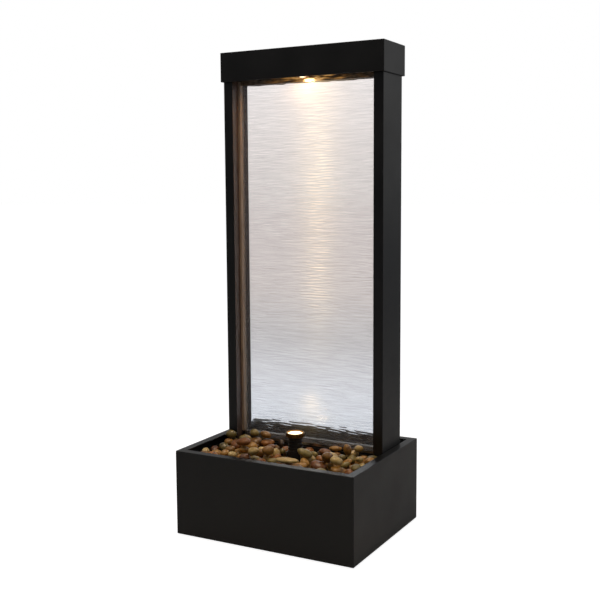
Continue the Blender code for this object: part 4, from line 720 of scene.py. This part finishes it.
def stoneMesh(name, stones, rng):
    # each stone is a ball, its radius 1 plus three slow waves, stretched to its halves, turned and placed
    around, along = pebbles["around"], pebbles["along"]
    count = len(stones)
    polar = np.linspace(0, np.pi, along + 1)[1:-1]
    circle = np.arange(around) * 2 * np.pi / around
    ring = np.stack(
        [
            np.sin(polar)[:, None] * np.cos(circle),
            np.sin(polar)[:, None] * np.sin(circle),
            np.cos(polar)[:, None] + 0 * circle,
        ],
        2,
    ).reshape(-1, 3)
    ball = np.concatenate([[[0, 0, 1]], ring, [[0, 0, -1]]])
    waves = rng.normal(size=(count, 3, 3)) * np.array([1.5, 2.2, 3.0])[None, :, None]
    phase = rng.uniform(0, 2 * np.pi, (count, 3))
    swell = np.sin(np.einsum("vk,nwk->nwv", ball, waves) + phase[:, :, None])
    radius = 1 - 0.04 + pebbles["lump"] * (swell * np.array([0.5, 0.32, 0.2])[None, :, None]).sum(1)
    shape = ball[None] * radius[:, :, None]
    halves = np.array([s[2] for s in stones])
    turns = np.array([s[3] for s in stones])
    places = np.array([s[1] for s in stones])
    points = np.einsum("nij,nvj->nvi", turns, shape * halves[:, None, :]) + places[:, None, :]

    rings = along - 1
    index = 1 + np.arange(rings * around).reshape(rings, around)
    right = np.roll(index, -1, axis=1)
    quads = np.stack([index[:-1], index[1:], right[1:], right[:-1]], 2).reshape(-1, 4)
    last = len(ball) - 1
    capTop = np.stack([0 * index[0], index[0], right[0], right[0]], 1)
    capLow = np.stack([0 * index[0] + last, right[-1], index[-1], index[-1]], 1)
    split = np.concatenate([quads[:, [0, 1, 2]], quads[:, [0, 2, 3]], capTop[:, :3], capLow[:, :3]])
    faces = (split[None] + (np.arange(count) * len(ball))[:, None, None]).reshape(-1, 3)
    item = meshObject(name, points.reshape(-1, 3) * mm, faces)
    storeValues(item, "stoneShade", np.repeat([s[4] for s in stones], len(ball)))
    return item


def stoneMaterial(kind):
    # river stone, tumbled smooth and wet: mottled, with a thin film of water on it
    values = {"IOR": 1.5, "Coat Weight": 0.2, "Coat Roughness": 0.12, "Coat IOR": 1.33}
    material, tree, shader = newMaterial("wet" + kind.capitalize(), values)
    dark, middle, light = stoneKinds[kind][1]
    point = objectPoint(tree)
    shade = addNode(tree, "ShaderNodeAttribute", {"attribute_name": "stoneShade"}).outputs["Fac"]
    mottle = noiseOf(tree, point, 7 * mm, 4, 0.6)
    speck = noiseOf(tree, point, 1.6 * mm, 2)
    spread = mathOf(tree, "MULTIPLY_ADD", mottle, 1.1, -0.3)
    mixed = mathOf(tree, "ADD", mathOf(tree, "MULTIPLY", shade, 0.5), spread)
    mixed = mathOf(tree, "ADD", mixed, remap(tree, speck, 0.3, 0.7, -0.12, 0.06))
    colour = rampOf(tree, mixed, [(0.1, dark), (0.5, middle), (0.9, light)])
    tree.links.new(colour, shader.inputs["Base Color"])
    tree.links.new(remap(tree, mottle, 0.3, 0.7, 0.25, 0.5), shader.inputs["Roughness"])
    bumpOf(tree, mathOf(tree, "ADD", mottle, speck), shader, 0.35 * mm, 0.6)
    return material


def pebbleBed():
    rng = np.random.default_rng(pebbles["seed"])
    stones, ground, x, y = dropStones(rng)
    placeFeatured(stones, ground, x, y)
    for kind in stoneKinds:
        chosen = [s for s in stones if s[0] == kind]
        item = stoneMesh("pebbles_" + kind, chosen, rng)
        item.data.materials.append(stoneMaterial(kind))
        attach(item, "frame")
        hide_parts("pebble_bed")
    print("pebbles:", len(stones))


pebbleBed()

# Stage, lamps and camera

studio = {
    "floor": ("#aaaeb4", "#b0b4ba"),
    "floorWhite": 0.9,  # added for the camera alone
    "floorThroughWater": 1.8,
    "floorTones": [(0.0, "#d8d9de"), (0.16, "#d4d5da"), (0.33, "#bababc"), (0.7, "#c2bfbf")],  # going back
    "roomAbove": (0.04, 0.22),  # room light from the horizon to overhead
    "roomBehind": (0.0, 0.24),  # added from the front to the back
    "roomRight": (0.0, 0.1),  # added from the left to the right
    "lampColour": "#ffc987",
    "topLampPower": 0.8,
    "baseLampPower": 0.06,
    "seenThroughWater": (1.04, 1.36),  # the backdrop's light through the film: at eye level, and above
}


softboxes = {
    # place and aim in metres, side in metres, power in watts, colour
    "key_softbox": ((-1.6, -1.8, 2.4), (0, 0, 0.4), 1.6, 4.0, "#ffffff"),
    "side_softbox": ((2.2, 0.6, 1.2), (0, 0, 0.5), 1.4, 3.0, "#ffffff"),
    "over_softbox": ((0.1, -0.5, 2.6), (0, -0.05, 0.2), 0.9, 26.0, "#ffe6c8"),
}


def aimedLight(name, kind, place, aim, power, colour):
    # a light at place, pointed at aim
    data = bpy.data.lights.new(name, kind)
    data.energy = power
    data.color = hexColour(colour)[:3]
    item = bpy.data.objects.new(name, data)
    bpy.context.scene.collection.objects.link(item)
    item.location = place
    item.rotation_euler = (Vector(aim) - Vector(place)).to_track_quat("-Z", "Y").to_euler()
    return item


def areaLight(name, place, aim, size, power, colour):
    item = aimedLight(name, "AREA", place, aim, power, colour)
    item.data.shape = "SQUARE"
    item.data.size = size


def lampLight(name, place, aim, size, power, cone):
    # a warm spot, softened by a size near its lens's
    item = aimedLight(name, "SPOT", place, aim, power, studio["lampColour"])
    item.data.spot_size = math.radians(cone)
    item.data.spot_blend = 0.5
    item.data.shadow_soft_size = size
    return item


def studioFloor():
    # a painted floor: white to the camera, dimmer and cooler where it shows through the water
    side = 40.0
    corners = np.array([[-side, -side, 0], [side, -side, 0], [side, side, 0], [-side, side, 0]])
    floor = meshObject("studio_floor", corners, np.array([[0, 1, 2, 3]]), False)
    material, tree, shader = newMaterial("paintedFloor", {"Roughness": 0.9, "Specular IOR Level": 0.1})
    grain = noiseOf(tree, objectPoint(tree), 40 * mm)
    dark, light = studio["floor"]
    tree.links.new(rampOf(tree, grain, [(0.3, dark), (0.7, light)]), shader.inputs["Base Color"])
    shader.inputs["Emission Color"].default_value = hexColour("#ffffff")
    path = addNode(tree, "ShaderNodeLightPath").outputs
    white = mathOf(tree, "MULTIPLY", path["Is Camera Ray"], studio["floorWhite"])
    tree.links.new(white, shader.inputs["Emission Strength"])
    back = addNode(tree, "ShaderNodeSeparateXYZ", None, {0: objectPoint(tree)}).outputs["Y"]
    away = remap(tree, back, 0.2, 6.0, 0.0, 1.0)
    tone = rampOf(tree, away, studio["floorTones"])
    glow = addNode(tree, "ShaderNodeEmission", {"Strength": studio["floorThroughWater"]}, {"Color": tone})
    links = {0: path["Is Transmission Ray"], 1: shader.outputs["BSDF"], 2: glow.outputs["Emission"]}
    mix = addNode(tree, "ShaderNodeMixShader", None, links)
    tree.links.new(mix.outputs["Shader"], tree.nodes["Material Output"].inputs["Surface"])
    floor.data.materials.append(material)


def studioWorld():
    # a white backdrop to the camera, a grey one through the water, and a soft room light elsewhere:
    # brighter above, behind and on the right than in front
    world = bpy.data.worlds.new("studio")
    bpy.context.scene.world = world
    world.use_nodes = True
    tree = world.node_tree
    way = addNode(tree, "ShaderNodeTexCoord").outputs["Generated"]
    x, y, z = addNode(tree, "ShaderNodeSeparateXYZ", None, {0: way}).outputs
    path = addNode(tree, "ShaderNodeLightPath").outputs
    above = remap(tree, z, 0.0, 0.9, *studio["roomAbove"])
    behind = remap(tree, y, -0.1, 0.7, *studio["roomBehind"])
    room = mathOf(tree, "ADD", above, behind)
    room = mathOf(tree, "ADD", room, remap(tree, x, 0.1, 0.8, *studio["roomRight"]))
    seen = remap(tree, z, 0.0, 0.2, *studio["seenThroughWater"])
    links = {0: path["Is Transmission Ray"], 2: room, 3: seen}
    light = addNode(tree, "ShaderNodeMix", None, links).outputs[0]
    light = mathOf(tree, "MAXIMUM", light, path["Is Camera Ray"])
    tree.links.new(light, tree.nodes["Background"].inputs["Strength"])
    tree.nodes["Background"].inputs["Color"].default_value = hexColour("#ffffff")


def buildStage():
    studioFloor()
    studioWorld()
    for name, values in softboxes.items():
        areaLight(name, *values)

    low, high = boxOf("top_lamp_lens")
    place = ((low[0] + high[0]) / 2, (low[1] + high[1]) / 2, low[2] - 0.8 * mm)
    aim = (place[0], place[1] + 0.01, place[2] - 0.1)
    down = lampLight("top_lamp_light", place, aim, 8 * mm, studio["topLampPower"], 178)
    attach(down, "frame")
    low, high = boxOf("base_lamp_lens")
    place = ((low[0] + high[0]) / 2, (low[1] + high[1]) / 2, high[2] + 0.8 * mm)
    aim = (place[0], place[1] + 0.02, place[2] + 0.1)
    up = lampLight("base_lamp_light", place, aim, 10 * mm, studio["baseLampPower"], 140)
    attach(up, "spotlight")
    print("stage and lamps ready")


buildStage()

view = {
    "place": (0.8809, -1.6148, 0.6635),
    "yaw": 28.489,  # degrees, turned left from straight back
    "pitch": 6.466,  # looking down
    "roll": -0.376,
    "lens": 57.19,
    "sensor": 36.0,
}


def placeCamera():
    yaw, pitch, roll = (math.radians(view[k]) for k in ("yaw", "pitch", "roll"))
    data = bpy.data.cameras.new("studio_camera")
    data.lens = view["lens"]
    data.sensor_width = view["sensor"]
    data.clip_end = 100
    item = bpy.data.objects.new("studio_camera", data)
    bpy.context.scene.collection.objects.link(item)
    turn = Matrix.Rotation(yaw, 4, "Z") @ Matrix.Rotation(math.pi / 2 - pitch, 4, "X")
    item.matrix_world = Matrix.Translation(view["place"]) @ turn @ Matrix.Rotation(roll, 4, "Z")
    bpy.context.scene.camera = item
    bpy.context.scene.view_settings.view_transform = "Standard"


placeCamera()
